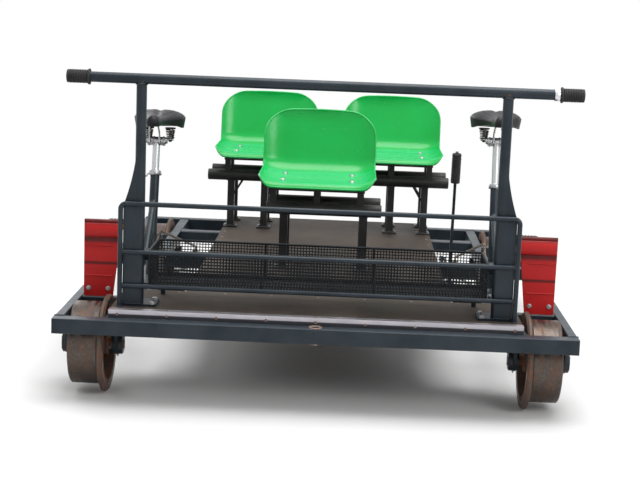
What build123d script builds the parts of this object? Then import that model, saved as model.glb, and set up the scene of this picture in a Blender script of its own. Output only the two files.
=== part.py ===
from build123d import *
import os
from math import acos, atan2, cos, degrees, hypot, pi, radians, sin, tan

os.makedirs("parts", exist_ok=True)

# Five-seat rail bike on four flanged wheels, in millimetres.
# X is across the track, the front looks along -Y, Z is up.
# Z = 0 is the floor under the flanges, the origin is the middle of the outline on that floor.

# Track and wheels
gauge = 1435.0
flange_play = 5.5
flange_thickness = 24.0
flange_height = 25.0
flange_edge_height = 5.0
flange_edge_width = 6.0
flange_crown_width = 8.0
tread_radius = 137.0
tread_width = 94.0
tread_chamfer = 4.0
rim_thickness = 15.0
web_thickness = 12.0
hub_radius = 38.0
hub_recess = 6.0
wheel_hole_radius = 19.0
wheel_hole_count = 6
wheelbase = 1640.0
front_overhang = 204.0
rear_overhang = 296.0

# Clearances and fits
running_fit = 0.08
slip_fit = 0.05
seat_gap = 0.3
wheel_outer_gap = 6.0
wheel_inner_gap = 8.0
wheel_end_gap = 6.0
deck_wheel_gap = 20.0
basket_post_gap = 15.0

# Welded frame of rectangular tube
frame_top_z = 285.0
frame_height = 50.0
beam_depth = 50.0
side_tube_width = 30.0
inner_tube_width = 40.0
cross_tube_depth = 50.0
bay_tube_depth = 30.0
tube_corner = 4.0
coupling_bore_radius = 13.0
middle_bay_setback = 1016.0
rear_cross_lead = 59.0

# Stub axles and their hangers
axle_radius = 15.0
collar_radius = 21.0
axle_end_reach = 5.0
hanger_plate = 10.0
hanger_foot = 150.0
hanger_margin = 2.0
housing_radius = 36.0
inner_housing_length = 32.0
outer_housing_length = 28.0

# Deck
deck_thickness = 24.0
deck_centre_half_width = 455.0
deck_front_length = 340.0
edge_sheet = 3.0
edge_leg = 25.0

# Handlebar on two posts
bar_radius = 16.85
bar_half_length = 822.0
bar_z = 1049.0
bar_setback = 140.0
post_radius = 16.85
post_x = 585.0
post_foot_width = 57.0
post_foot_shift = 10.0
post_foot_depth = 40.0
post_foot_top_z = 645.0
post_flare_top_z = 865.0
post_flare_top_width = 8.0
post_flare_sag = 9.0
post_flare_depth = 24.0
post_base_width = 110.0
post_base_depth = 90.0
post_base_thickness = 8.0
grip_length = 75.0
grip_radius = 22.0
grip_flange_radius = 25.5
grip_flange_width = 6.0
grip_end_wall = 3.0
grip_end_round = 3.0

# Luggage hoop and wire basket between the posts
hoop_radius = 8.0
hoop_rail_radius = 7.5
hoop_half_width = 643.0
hoop_top_z = 648.0
hoop_bend = 18.0
basket_depth = 226.0
basket_floor_z = 370.0
basket_height = 128.0
basket_wall = 4.0
basket_wire = 6.0
basket_mesh = 56.0
basket_rest_radius = 8.0
basket_rest_inset = 24.0
basket_rest_lead = 16.0
basket_rest_bend = 24.0

# Red guards behind the front wheels
guard_top_width = 130.0
guard_foot_width = 99.0
guard_height = 266.0
guard_sheet = 3.0
guard_flange = 14.0
guard_rim_radius = 6.0
guard_bead_radius = 3.0
guard_bead_heights = (72.0, 176.0)

# Pedal stations
station_x = 632.0
crank_setback = 416.0
crank_z = 390.0
crank_length = 170.0
crank_angle = 28.0
crank_arm_thickness = 14.0
crank_boss_radius = 21.0
crank_eye_radius = 15.0
spindle_radius = 8.5
spindle_length = 140.0
shell_radius = 22.0
shell_length = 68.0
station_plate = 8.0
station_plate_width = 80.0
station_plate_front = 45.0
upright_width = 24.0
upright_depth = 50.0
seat_tube_radius = 17.0
seat_tube_setback = 130.0
seat_tube_lean = 13.3
seat_tube_top_z = 665.0
brace_radius = 12.5
brace_top_z = 560.0

# Pedals
pedal_width = 88.0
pedal_length = 84.0
pedal_thickness = 26.0
pedal_gap = 6.0
pedal_pin_radius = 6.0
pedal_barrel_radius = 13.0
pedal_bar = 15.0
pedal_end_plate = 8.0

# Chain drive to the rear stub axles
chain_pitch = 12.7
chainring_teeth = 42
sprocket_teeth = 20
tooth_height = 3.6
tooth_thickness = 3.0
tooth_width = 7.6
tooth_flank = 74.0
chain_plate = 1.3
chain_plate_height = 9.0
chain_link_step = 4
roller_radius = 3.9
chainring_offset = 51.0
chainring_band = 14.0
spider_arm_width = 16.0
spider_arm_count = 5
spider_radius = 29.4
sprocket_hub_radius = 26.0
sprocket_hub_length = 26.0

# Saddles and their posts
saddle_tops = {"left": 885.0, "right": 930.0}
saddle_height = 66.0
saddle_length = 262.0
saddle_rear_width = 192.0
saddle_rear_radius = 55.0
saddle_nose_radius = 27.0
saddle_crown_slope = 15.0
saddle_skirt_slope = 22.0
seat_post_radius = 13.6
seat_post_insert = 90.0
saddle_wire_radius = 3.5
saddle_wire_spread = 18.0
saddle_wire_front = 70.0
saddle_wire_knee = 47.0
saddle_wire_bend = 14.0
saddle_wire_drop = 45.0
saddle_bar_radius = 5.0
spring_pin_radius = 6.0
clamp_radius = 16.0
clamp_width = 66.0

# Moulded seat shells
shell_seat_width = 440.0
shell_sheet = 5.0
shell_side_height = 24.0
shell_pan_depth = 345.0
shell_back_lean = 45.0
shell_back_height = 245.0
shell_pan_z = 646.0
shell_lip_drop = 18.0
shell_back_corner = 105.0
shell_back_arch = 9.0
shell_pan_corner = 55.0
shell_fold_radius = 75.0
shell_lip_radius = 20.0
front_seat_setback = 591.0
front_seat_x = -28.0
rear_seat_setback = 1501.0
rear_seat_x = 277.0

# Seat stands
stand_tube_radius = 24.0
stand_tube_z = 538.0
stand_leg = 30.0
stand_foot = 60.0
stand_foot_thickness = 6.0
front_stand_half_width = 215.0
front_leg_x = 150.0
rear_stand_half_width = 526.0
rear_leg_xs = (278.0, 425.0)
stand_row_offsets = (95.0, 285.0)
stand_bearer_width = 30.0
stand_bearer_height = 35.0
stand_bearer_length = 360.0
stand_stub = 24.0
stand_stub_offsets = (-165.0, 0.0, 165.0)
stand_brace_reach = 56.0
stand_brace_drop = 74.0
stand_brace_width = 12.0
stand_brace_thickness = 8.0

# Hand brake on the rear wheels
brake_shaft_radius = 12.0
brake_boss_radius = 24.0
brake_arm_foot = 72.0
brake_shaft_z = 200.0
brake_shaft_lead = 214.0
brake_shaft_end = 36.0
brake_arm_thickness = 12.0
shoe_gap = 6.0
shoe_thickness = 34.0
shoe_height = 90.0
shoe_width = 74.0
lever_x = 505.0
lever_pivot_setback = 966.0
lever_thickness = 10.0
lever_width = 30.0
lever_tip_radius = 10.0
lever_top_z = 745.0
lever_lean = 70.0
lever_grip_radius = 15.0
lever_grip_length = 115.0
rod_radius = 6.0
rod_boss_radius = 12.0
lever_rod_rise = 34.0

# Places that follow from the sizes above
half_length = (front_overhang + wheelbase + rear_overhang) / 2
front_face_y = -half_length
rear_face_y = half_length
front_axle_y = front_face_y + front_overhang
rear_axle_y = front_axle_y + wheelbase
axle_z = tread_radius + flange_height
flange_radius = tread_radius + flange_height
frame_bottom_z = frame_top_z - frame_height
frame_mid_z = frame_top_z - frame_height / 2
tread_inner_x = gauge / 2 - flange_play
tread_outer_x = tread_inner_x + tread_width
tread_mid_x = tread_inner_x + tread_width / 2
flange_inner_x = tread_inner_x - flange_thickness
side_tube_x = tread_outer_x + wheel_outer_gap + side_tube_width / 2
frame_half_width = side_tube_x + side_tube_width / 2
inner_tube_outer_x = flange_inner_x - wheel_inner_gap
inner_tube_x = inner_tube_outer_x - inner_tube_width / 2
inner_tube_inner_x = inner_tube_x - inner_tube_width / 2
tube_front_y = front_face_y + beam_depth
tube_rear_y = rear_face_y - beam_depth
tube_length = tube_rear_y - tube_front_y
tube_mid_y = (tube_rear_y + tube_front_y) / 2
deck_top_z = frame_top_z + deck_thickness
deck_front_half_width = flange_inner_x - deck_wheel_gap

# Half the length of the wheel at the height of the frame tubes
wheel_reach = (flange_radius**2 - (frame_bottom_z - axle_z) ** 2) ** 0.5
front_bay_y = front_axle_y + wheel_reach + wheel_end_gap + bay_tube_depth / 2
rear_bay_y = rear_axle_y - wheel_reach - wheel_end_gap - bay_tube_depth / 2
middle_bay_y = front_axle_y + middle_bay_setback

crank_y = front_axle_y + crank_setback
chain_x = station_x - chainring_offset
ring_radius = chain_pitch / (2 * sin(pi / chainring_teeth))
sprocket_radius = chain_pitch / (2 * sin(pi / sprocket_teeth))
tooth_length = tooth_height + 1.5 * roller_radius
chain_inner_width = tooth_thickness + 2 * seat_gap
post_y = front_face_y + bar_setback
post_inner_x = post_x - post_radius
basket_half_width = post_inner_x - basket_post_gap
sides = (("left", -1), ("right", 1))
corners = (
    ("front_left", -1, front_axle_y),
    ("front_right", 1, front_axle_y),
    ("rear_left", -1, rear_axle_y),
    ("rear_right", 1, rear_axle_y),
)


def write(piece, label):
    """Label a finished piece and write its file."""
    piece.part.label = label
    export_step(piece.part, f"parts/{label}.step")


def unit(y, z):
    """Direction in the YZ plane, scaled to length one."""
    size = hypot(y, z)
    return (y / size, z / size)


# Front and rear beams, each with a vertical bore for a coupling pin
for label, beam_y in (
    ("frame_front_beam", front_face_y + beam_depth / 2),
    ("frame_rear_beam", rear_face_y - beam_depth / 2),
):
    with BuildPart() as beam:
        with Locations((0, beam_y, frame_mid_z)):
            Box(2 * frame_half_width, beam_depth, frame_height)
        fillet(beam.edges().filter_by(Axis.X), tube_corner)
        with Locations((0, beam_y, frame_mid_z)):
            Cylinder(coupling_bore_radius, frame_height, mode=Mode.SUBTRACT)
    write(beam, label)

# Long tubes: the side tubes outside the wheels and the inner tubes beside them
for label, tube_x, width in (
    ("frame_side_tubes", side_tube_x, side_tube_width),
    ("frame_inner_tubes", inner_tube_x, inner_tube_width),
):
    with BuildPart() as long_tubes:
        with Locations((-tube_x, tube_mid_y, frame_mid_z), (tube_x, tube_mid_y, frame_mid_z)):
            Box(width, tube_length, frame_height)
        fillet(long_tubes.edges().filter_by(Axis.Y), tube_corner)
    write(long_tubes, label)

# Cross tubes between the inner tubes, clear of pedals and chains
cross_ys = (
    front_bay_y + (cross_tube_depth - bay_tube_depth) / 2,
    middle_bay_y,
    rear_axle_y - rear_cross_lead,
)
with BuildPart() as cross_tubes:
    for cross_y in cross_ys:
        with Locations((0, cross_y, frame_mid_z)):
            Box(2 * inner_tube_inner_x, cross_tube_depth, frame_height)
    chamfer(cross_tubes.edges().filter_by(Axis.X), tube_corner)
write(cross_tubes, "frame_cross_tubes")

# Short tubes that close the wheel bays between inner and side tubes
bay_length = side_tube_x - side_tube_width / 2 - inner_tube_outer_x
with BuildPart() as bay_tubes:
    for name, side in sides:
        for bay_y in (front_bay_y, middle_bay_y, rear_bay_y):
            with Locations((side * (inner_tube_outer_x + bay_length / 2), bay_y, frame_mid_z)):
                Box(bay_length, bay_tube_depth, frame_height)
    chamfer(bay_tubes.edges().filter_by(Axis.X), tube_corner)
write(bay_tubes, "frame_bay_tubes")

# Hangers: a plate and a bearing housing under each inner and side tube
for label, axle_y in (("hangers_front", front_axle_y), ("hangers_rear", rear_axle_y)):
    with BuildPart() as hangers:
        for side, hanger_x, length in (
            (-1, side_tube_x, outer_housing_length),
            (-1, inner_tube_x, inner_housing_length),
            (1, inner_tube_x, inner_housing_length),
            (1, side_tube_x, outer_housing_length),
        ):
            with BuildSketch(Plane.YZ.offset(side * hanger_x)):
                with BuildLine():
                    CenterArc((axle_y, axle_z), housing_radius + hanger_margin, 0, 360)
                    Line(
                        (axle_y - hanger_foot / 2, frame_bottom_z),
                        (axle_y + hanger_foot / 2, frame_bottom_z),
                    )
                make_hull()
            extrude(amount=hanger_plate / 2, both=True)
            with BuildSketch(Plane.YZ.offset(side * hanger_x)):
                with Locations((axle_y, axle_z)):
                    Circle(housing_radius)
            extrude(amount=length / 2, both=True)
            with BuildSketch(Plane.YZ.offset(side * hanger_x)):
                with Locations((axle_y, axle_z)):
                    Circle(axle_radius + running_fit)
            extrude(amount=length / 2, both=True, mode=Mode.SUBTRACT)
    write(hangers, label)

# Stub axles with a collar on each side of the wheel hub
hub_inner_x = flange_inner_x + hub_recess
hub_outer_x = tread_outer_x - hub_recess
inner_housing_face = inner_tube_x + inner_housing_length / 2
outer_housing_face = side_tube_x - outer_housing_length / 2
axle_outer_x = side_tube_x + outer_housing_length / 2 + axle_end_reach
for name, side, axle_y in corners:
    is_rear = axle_y > 0
    axle_inner_x = inner_tube_x - inner_housing_length / 2 - axle_end_reach
    if is_rear:
        axle_inner_x = chain_x - sprocket_hub_length / 2
    with BuildPart() as axle:
        with BuildSketch(Plane.YZ.offset(side * (axle_inner_x + axle_outer_x) / 2)):
            with Locations((axle_y, axle_z)):
                Circle(axle_radius)
        extrude(amount=(axle_outer_x - axle_inner_x) / 2, both=True)
        for start_x, end_x in (
            (inner_housing_face + seat_gap, hub_inner_x),
            (hub_outer_x, outer_housing_face - seat_gap),
        ):
            with BuildSketch(Plane.YZ.offset(side * (start_x + end_x) / 2)):
                with Locations((axle_y, axle_z)):
                    Circle(collar_radius)
            extrude(amount=(end_x - start_x) / 2, both=True)
    write(axle, f"axle_{name}")

# Flanged wheels, turned about the axle, with round holes in the web
rim_inner_radius = tread_radius - rim_thickness
flange_crown_x = flange_inner_x + flange_edge_width + flange_crown_width
for name, side, axle_y in corners:
    axle_plane = Plane(origin=(0, axle_y, axle_z), x_dir=(side, 0, 0), z_dir=(0, -side, 0))
    with BuildPart() as wheel:
        with BuildSketch(axle_plane):
            with BuildLine():
                Polyline(
                    (flange_inner_x, rim_inner_radius),
                    (flange_inner_x, flange_radius - flange_edge_height),
                    (flange_inner_x + flange_edge_width, flange_radius),
                    (flange_crown_x, flange_radius),
                    (tread_inner_x, tread_radius),
                    (tread_outer_x - tread_chamfer, tread_radius),
                    (tread_outer_x, tread_radius - tread_chamfer),
                    (tread_outer_x, rim_inner_radius),
                    (tread_mid_x + web_thickness / 2, rim_inner_radius),
                    (tread_mid_x + web_thickness / 2, hub_radius),
                    (hub_outer_x, hub_radius),
                    (hub_outer_x, axle_radius + slip_fit),
                    (hub_inner_x, axle_radius + slip_fit),
                    (hub_inner_x, hub_radius),
                    (tread_mid_x - web_thickness / 2, hub_radius),
                    (tread_mid_x - web_thickness / 2, rim_inner_radius),
                    close=True,
                )
            make_face()
        revolve(axis=Axis((0, axle_y, axle_z), (1, 0, 0)))
        with BuildSketch(Plane.YZ.offset(side * tread_mid_x)):
            with Locations((axle_y, axle_z)):
                with PolarLocations((rim_inner_radius + hub_radius) / 2, wheel_hole_count):
                    Circle(wheel_hole_radius)
        extrude(amount=web_thickness, both=True, mode=Mode.SUBTRACT)
    write(wheel, f"wheel_{name}")

# Sprockets on the inner ends of the rear stub axles
for name, side in sides:
    sprocket_plane = Plane(
        origin=(side * chain_x, rear_axle_y, axle_z), x_dir=(0, 1, 0), z_dir=(1, 0, 0)
    )
    with BuildPart() as sprocket:
        with BuildSketch(sprocket_plane):
            Circle(sprocket_radius - roller_radius)
            with PolarLocations(sprocket_radius + tooth_height - tooth_length / 2, sprocket_teeth):
                Trapezoid(tooth_width, tooth_length, tooth_flank, rotation=-90)
        extrude(amount=tooth_thickness / 2, both=True)
        with BuildSketch(sprocket_plane):
            Circle(sprocket_hub_radius)
        extrude(amount=sprocket_hub_length / 2, both=True)
        with BuildSketch(sprocket_plane):
            Circle(axle_radius + slip_fit)
        extrude(amount=sprocket_hub_length, both=True, mode=Mode.SUBTRACT)
    write(sprocket, f"sprocket_{name}")

# Deck boards and the metal edge along the front
deck_front_rear_y = tube_front_y + deck_front_length
for label, half_width, start_y, end_y in (
    ("deck_front", deck_front_half_width, tube_front_y, deck_front_rear_y),
    ("deck_centre", deck_centre_half_width, deck_front_rear_y, tube_rear_y),
):
    with BuildPart() as deck:
        with Locations((0, (start_y + end_y) / 2, frame_top_z + deck_thickness / 2)):
            Box(2 * half_width, end_y - start_y, deck_thickness)
    write(deck, label)
with BuildPart() as deck_edge:
    with BuildSketch(Plane.YZ):
        with BuildLine():
            Polyline(
                (tube_front_y, frame_top_z),
                (tube_front_y, deck_top_z),
                (tube_front_y + edge_leg, deck_top_z),
                (tube_front_y + edge_leg, deck_top_z + edge_sheet),
                (tube_front_y - edge_sheet, deck_top_z + edge_sheet),
                (tube_front_y - edge_sheet, frame_top_z),
                close=True,
            )
        make_face()
    extrude(amount=deck_front_half_width, both=True)
write(deck_edge, "deck_edge")

# Handlebar posts: a wide foot that flares into a round tube under the bar
post_outer_x = post_inner_x + post_foot_shift + post_foot_width
post_foot_x = post_outer_x - post_foot_width / 2
flare_top_x = post_x + post_flare_top_width
flare_mid_x = (post_outer_x + flare_top_x) / 2
flare_mid_z = (post_foot_top_z + post_flare_top_z) / 2
for name, side in sides:
    with BuildPart() as post:
        base_x = post_outer_x - post_base_width / 2
        base_y = post_y + (post_base_depth - post_foot_depth) / 2
        with Locations((side * base_x, base_y, deck_top_z + post_base_thickness / 2)):
            Box(post_base_width, post_base_depth, post_base_thickness)
        foot_height = post_foot_top_z - deck_top_z
        with Locations((side * post_foot_x, post_y, deck_top_z + foot_height / 2)):
            Box(post_foot_width, post_foot_depth, foot_height)
        with BuildSketch(Plane.XZ.offset(-post_y)):
            with BuildLine():
                ThreePointArc(
                    (side * post_outer_x, post_foot_top_z),
                    (side * (flare_mid_x - post_flare_sag), flare_mid_z),
                    (side * flare_top_x, post_flare_top_z),
                )
                Polyline(
                    (side * flare_top_x, post_flare_top_z),
                    (side * post_x, post_flare_top_z),
                    (side * (post_outer_x - post_foot_width), post_foot_top_z),
                    (side * post_outer_x, post_foot_top_z),
                )
            make_face()
        extrude(amount=post_flare_depth / 2, both=True)
        with BuildSketch(Plane.XY.offset(deck_top_z)):
            with Locations((side * post_x, post_y)):
                Circle(post_radius)
        extrude(amount=bar_z - deck_top_z)
        with BuildSketch(Plane.YZ.offset(side * post_x)):
            with Locations((post_y, bar_z)):
                Circle(bar_radius + slip_fit)
        extrude(amount=post_foot_width, both=True, mode=Mode.SUBTRACT)
    write(post, f"post_{name}")

# Handlebar and its two rubber grips
with BuildPart() as handlebar:
    with BuildSketch(Plane.YZ):
        with Locations((post_y, bar_z)):
            Circle(bar_radius)
    extrude(amount=bar_half_length, both=True)
write(handlebar, "handlebar")

grip_inner_x = bar_half_length + grip_end_wall - grip_length
with BuildPart() as grips:
    for name, side in sides:
        grip_plane = Plane(origin=(0, post_y, bar_z), x_dir=(side, 0, 0), z_dir=(0, -side, 0))
        with BuildSketch(grip_plane):
            with BuildLine():
                Polyline(
                    (grip_inner_x, bar_radius + slip_fit),
                    (grip_inner_x, grip_flange_radius),
                    (grip_inner_x + grip_flange_width, grip_flange_radius),
                    (grip_inner_x + grip_flange_width, grip_radius),
                    (bar_half_length, grip_radius),
                    (bar_half_length + grip_end_wall, grip_radius - grip_end_round),
                    (bar_half_length + grip_end_wall, 0),
                    (bar_half_length + slip_fit, 0),
                    (bar_half_length + slip_fit, bar_radius + slip_fit),
                    close=True,
                )
            make_face()
        revolve(axis=Axis((0, post_y, bar_z), (1, 0, 0)))
write(grips, "grips")

# Luggage hoop in front of the posts with two rails, and a rear rest for the basket
hoop_y = post_y - post_foot_depth / 2 - hoop_radius - seat_gap
basket_front_y = post_y - post_foot_depth / 2
basket_rear_y = basket_front_y + basket_depth
basket_top_z = basket_floor_z + basket_height
rest_z = basket_floor_z - basket_rest_radius - seat_gap
rest_x = basket_half_width - basket_rest_inset
rest_y = basket_rear_y - basket_rest_lead
with BuildPart() as luggage_hoop:
    with BuildLine(Plane.XZ.offset(-hoop_y)) as hoop_line:
        FilletPolyline(
            (-hoop_half_width, deck_top_z),
            (-hoop_half_width, hoop_top_z),
            (hoop_half_width, hoop_top_z),
            (hoop_half_width, deck_top_z),
            radius=hoop_bend,
        )
    with BuildSketch(Plane.XY.offset(deck_top_z)):
        with Locations((-hoop_half_width, hoop_y)):
            Circle(hoop_radius)
    sweep(path=hoop_line.line)
    for rail_z in (basket_floor_z + hoop_radius, basket_top_z - hoop_radius):
        with BuildSketch(Plane.YZ):
            with Locations((hoop_y, rail_z)):
                Circle(hoop_rail_radius)
        extrude(amount=hoop_half_width, both=True)
write(luggage_hoop, "luggage_hoop")

with BuildPart() as basket_rest:
    with BuildLine(Plane.XZ.offset(-rest_y)) as rest_line:
        FilletPolyline(
            (-rest_x, deck_top_z),
            (-rest_x, rest_z),
            (rest_x, rest_z),
            (rest_x, deck_top_z),
            radius=basket_rest_bend,
        )
    with BuildSketch(Plane.XY.offset(deck_top_z)):
        with Locations((-rest_x, rest_y)):
            Circle(basket_rest_radius)
    sweep(path=rest_line.line)
write(basket_rest, "basket_rest")

# Basket of wire grid: floor, front, rear and the two ends
basket_mid_y = (basket_front_y + basket_rear_y) / 2
wall_height = basket_height - basket_wall
grid_window = basket_mesh - basket_wire
long_columns = int(2 * basket_half_width // basket_mesh) - 1
end_columns = int((basket_depth - 2 * basket_wall) // basket_mesh)
floor_rows = int(basket_depth // basket_mesh)
wall_rows = int(wall_height // basket_mesh)
with BuildPart() as basket_floor:
    with Locations((0, basket_mid_y, basket_floor_z + basket_wall / 2)):
        Box(2 * basket_half_width, basket_depth, basket_wall)
    with BuildSketch(Plane.XY.offset(basket_floor_z)):
        with Locations((0, basket_mid_y)):
            with GridLocations(basket_mesh, basket_mesh, long_columns, floor_rows):
                Rectangle(grid_window, grid_window)
    extrude(amount=basket_wall, mode=Mode.SUBTRACT)
write(basket_floor, "basket_floor")

wall_mid_z = basket_floor_z + basket_wall + wall_height / 2
with BuildPart() as basket_walls:
    for wall_y in (basket_front_y + basket_wall / 2, basket_rear_y - basket_wall / 2):
        with Locations((0, wall_y, wall_mid_z)):
            Box(2 * basket_half_width, basket_wall, wall_height)
    for name, side in sides:
        with Locations((side * (basket_half_width - basket_wall / 2), basket_mid_y, wall_mid_z)):
            Box(basket_wall, basket_depth, wall_height)
    with BuildSketch(Plane.XZ.offset(-basket_mid_y)):
        with Locations((0, wall_mid_z)):
            with GridLocations(basket_mesh, basket_mesh, long_columns, wall_rows):
                Rectangle(grid_window, grid_window)
    extrude(amount=basket_depth, both=True, mode=Mode.SUBTRACT)
    with BuildSketch(Plane.YZ):
        with Locations((basket_mid_y, wall_mid_z)):
            with GridLocations(basket_mesh, basket_mesh, end_columns, wall_rows):
                Rectangle(grid_window, grid_window)
    extrude(amount=2 * basket_half_width, both=True, mode=Mode.SUBTRACT)
write(basket_walls, "basket_walls")

# Red sheet guards that stand on the bay tubes behind the front wheels
guard_top_z = frame_top_z + guard_height
guard_face_y = front_bay_y - guard_flange / 2
with BuildPart() as guards:
    for name, side in sides:
        for inset, start, mode in ((0, 0, Mode.ADD), (guard_sheet, guard_sheet, Mode.SUBTRACT)):
            outer_x = side * (tread_outer_x - inset)
            foot_x = side * (tread_outer_x - guard_foot_width + inset)
            top_x = side * (tread_outer_x - guard_top_width + inset)
            with BuildSketch(Plane.XZ.offset(-(guard_face_y + start))):
                with BuildLine():
                    Polyline(
                        (foot_x, frame_top_z),
                        (outer_x, frame_top_z),
                        (outer_x, guard_top_z - inset),
                        (top_x, guard_top_z - inset),
                        close=True,
                    )
                make_face()
            extrude(amount=-guard_flange, mode=mode)
        with BuildSketch(Plane.YZ.offset(side * (tread_outer_x - guard_top_width / 2))):
            with Locations((guard_face_y + guard_sheet, guard_top_z - guard_rim_radius)):
                Circle(guard_rim_radius)
        extrude(amount=guard_top_width / 2 - guard_sheet, both=True)
        for bead_height in guard_bead_heights:
            with BuildSketch(Plane.YZ.offset(side * (tread_outer_x - guard_foot_width / 2))):
                with Locations((guard_face_y, frame_top_z + bead_height)):
                    Circle(guard_bead_radius)
            extrude(amount=guard_foot_width / 2 - guard_sheet, both=True)
write(guards, "guards")

# Pedal stations: base plate, crank shell, seat tube and brace
lean = radians(seat_tube_lean)
seat_foot_y = crank_y + seat_tube_setback
station_base_z = frame_top_z + station_plate
seat_axis = (0, sin(lean), cos(lean))
seat_tube_length = (seat_tube_top_z - station_base_z) / cos(lean)


def seat_line_y(z):
    """Place along Y of the seat tube's axis at height z."""
    return seat_foot_y + (z - station_base_z) * tan(lean)


station_front_y = crank_y - station_plate_front
station_rear_y = seat_foot_y + station_plate_front
for name, side in sides:
    plate_x = inner_tube_outer_x - station_plate_width / 2
    seat_plane = Plane(
        origin=(side * station_x, seat_foot_y, station_base_z), x_dir=(1, 0, 0), z_dir=seat_axis
    )
    brace_rise = brace_top_z - crank_z
    brace_run = seat_line_y(brace_top_z) - crank_y
    brace_plane = Plane(
        origin=(side * station_x, crank_y, crank_z), x_dir=(1, 0, 0), z_dir=(0, brace_run, brace_rise)
    )
    with BuildPart() as station:
        with Locations(
            (side * plate_x, (station_front_y + station_rear_y) / 2, frame_top_z + station_plate / 2)
        ):
            Box(station_plate_width, station_rear_y - station_front_y, station_plate)
        upright_x = station_x + shell_length / 2 - upright_width / 2
        with Locations((side * upright_x, crank_y, (station_base_z + crank_z) / 2)):
            Box(upright_width, upright_depth, crank_z - station_base_z)
        with BuildSketch(Plane.YZ.offset(side * station_x)):
            with Locations((crank_y, crank_z)):
                Circle(shell_radius)
        extrude(amount=shell_length / 2, both=True)
        with BuildSketch(seat_plane.offset(-station_plate / 2)):
            Circle(seat_tube_radius)
        extrude(amount=seat_tube_length + station_plate / 2)
        with BuildSketch(brace_plane):
            Circle(brace_radius)
        extrude(amount=hypot(brace_rise, brace_run))
        with Locations((side * plate_x, seat_foot_y, frame_top_z - station_plate)):
            Box(station_plate_width, 4 * seat_tube_radius, 2 * station_plate, mode=Mode.SUBTRACT)
        with BuildSketch(seat_plane.offset(seat_tube_length)):
            Circle(seat_post_radius + slip_fit)
        extrude(amount=-seat_post_insert - slip_fit, mode=Mode.SUBTRACT)
        with BuildSketch(Plane.YZ.offset(side * station_x)):
            with Locations((crank_y, crank_z)):
                Circle(spindle_radius + running_fit)
        extrude(amount=shell_length, both=True, mode=Mode.SUBTRACT)
    write(station, f"pedal_station_{name}")

# Seat posts with clamp and saddle wires, then the saddles
saddle_reach = saddle_length - saddle_rear_radius - saddle_nose_radius
lobe_spread = saddle_rear_width / 2 - saddle_rear_radius
for name, side in sides:
    saddle_top_z = saddle_tops[name]
    saddle_base_z = saddle_top_z - saddle_height
    clamp_z = saddle_base_z - saddle_wire_drop
    clamp_y = seat_line_y(clamp_z)
    lobe_y = clamp_y + saddle_length / 2 - saddle_rear_radius
    post_start = seat_tube_length - seat_post_insert
    post_end = (clamp_z - station_base_z) / cos(lean)
    seat_plane = Plane(
        origin=(side * station_x, seat_foot_y, station_base_z), x_dir=(1, 0, 0), z_dir=seat_axis
    )
    with BuildPart() as seat_post:
        with BuildSketch(seat_plane.offset(post_start)):
            Circle(seat_post_radius)
        extrude(amount=post_end - post_start)
        with BuildSketch(Plane.YZ.offset(side * station_x)):
            with Locations((clamp_y, clamp_z)):
                Circle(clamp_radius)
        extrude(amount=clamp_width / 2, both=True)
        for wire_side in (-1, 1):
            wire_x = side * station_x + wire_side * saddle_wire_spread
            with BuildLine(Plane.YZ.offset(wire_x)) as wire_line:
                FilletPolyline(
                    (clamp_y - saddle_wire_front, saddle_base_z - seat_gap),
                    (clamp_y - saddle_wire_knee, clamp_z),
                    (lobe_y, clamp_z),
                    radius=saddle_wire_bend,
                )
            with BuildSketch(Plane(origin=wire_line.line @ 0, z_dir=wire_line.line % 0)):
                RegularPolygon(saddle_wire_radius, 6)
            sweep(path=wire_line.line)
            pin_x = side * station_x + wire_side * lobe_spread
            with BuildSketch(Plane.XY.offset(clamp_z)):
                with Locations((pin_x, lobe_y)):
                    Circle(spring_pin_radius)
            extrude(amount=saddle_base_z - seat_gap - clamp_z)
        with BuildSketch(Plane.YZ.offset(side * station_x)):
            with Locations((lobe_y, clamp_z)):
                Circle(saddle_bar_radius)
        extrude(amount=lobe_spread + 2 * spring_pin_radius, both=True)
        with Locations((side * station_x, clamp_y, saddle_base_z - seat_gap + saddle_height)):
            Box(saddle_length, 2 * saddle_length, 2 * saddle_height, mode=Mode.SUBTRACT)
    write(seat_post, f"seat_post_{name}")

    with BuildPart() as saddle:
        with BuildSketch(Plane.XY.offset(saddle_base_z)):
            with BuildLine():
                for lobe_side in (-1, 1):
                    lobe_place = (side * station_x + lobe_side * lobe_spread, lobe_y)
                    CenterArc(lobe_place, saddle_rear_radius, 0, 360)
                nose_place = (side * station_x, lobe_y - saddle_reach)
                CenterArc(nose_place, saddle_nose_radius, 0, 360)
            make_hull()
        extrude(amount=saddle_height)
        chamfer(saddle.faces().sort_by(Axis.Z)[-1].edges(), saddle_crown_slope)
        chamfer(saddle.faces().sort_by(Axis.Z)[0].edges(), saddle_skirt_slope)
    write(saddle, f"saddle_{name}")

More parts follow.
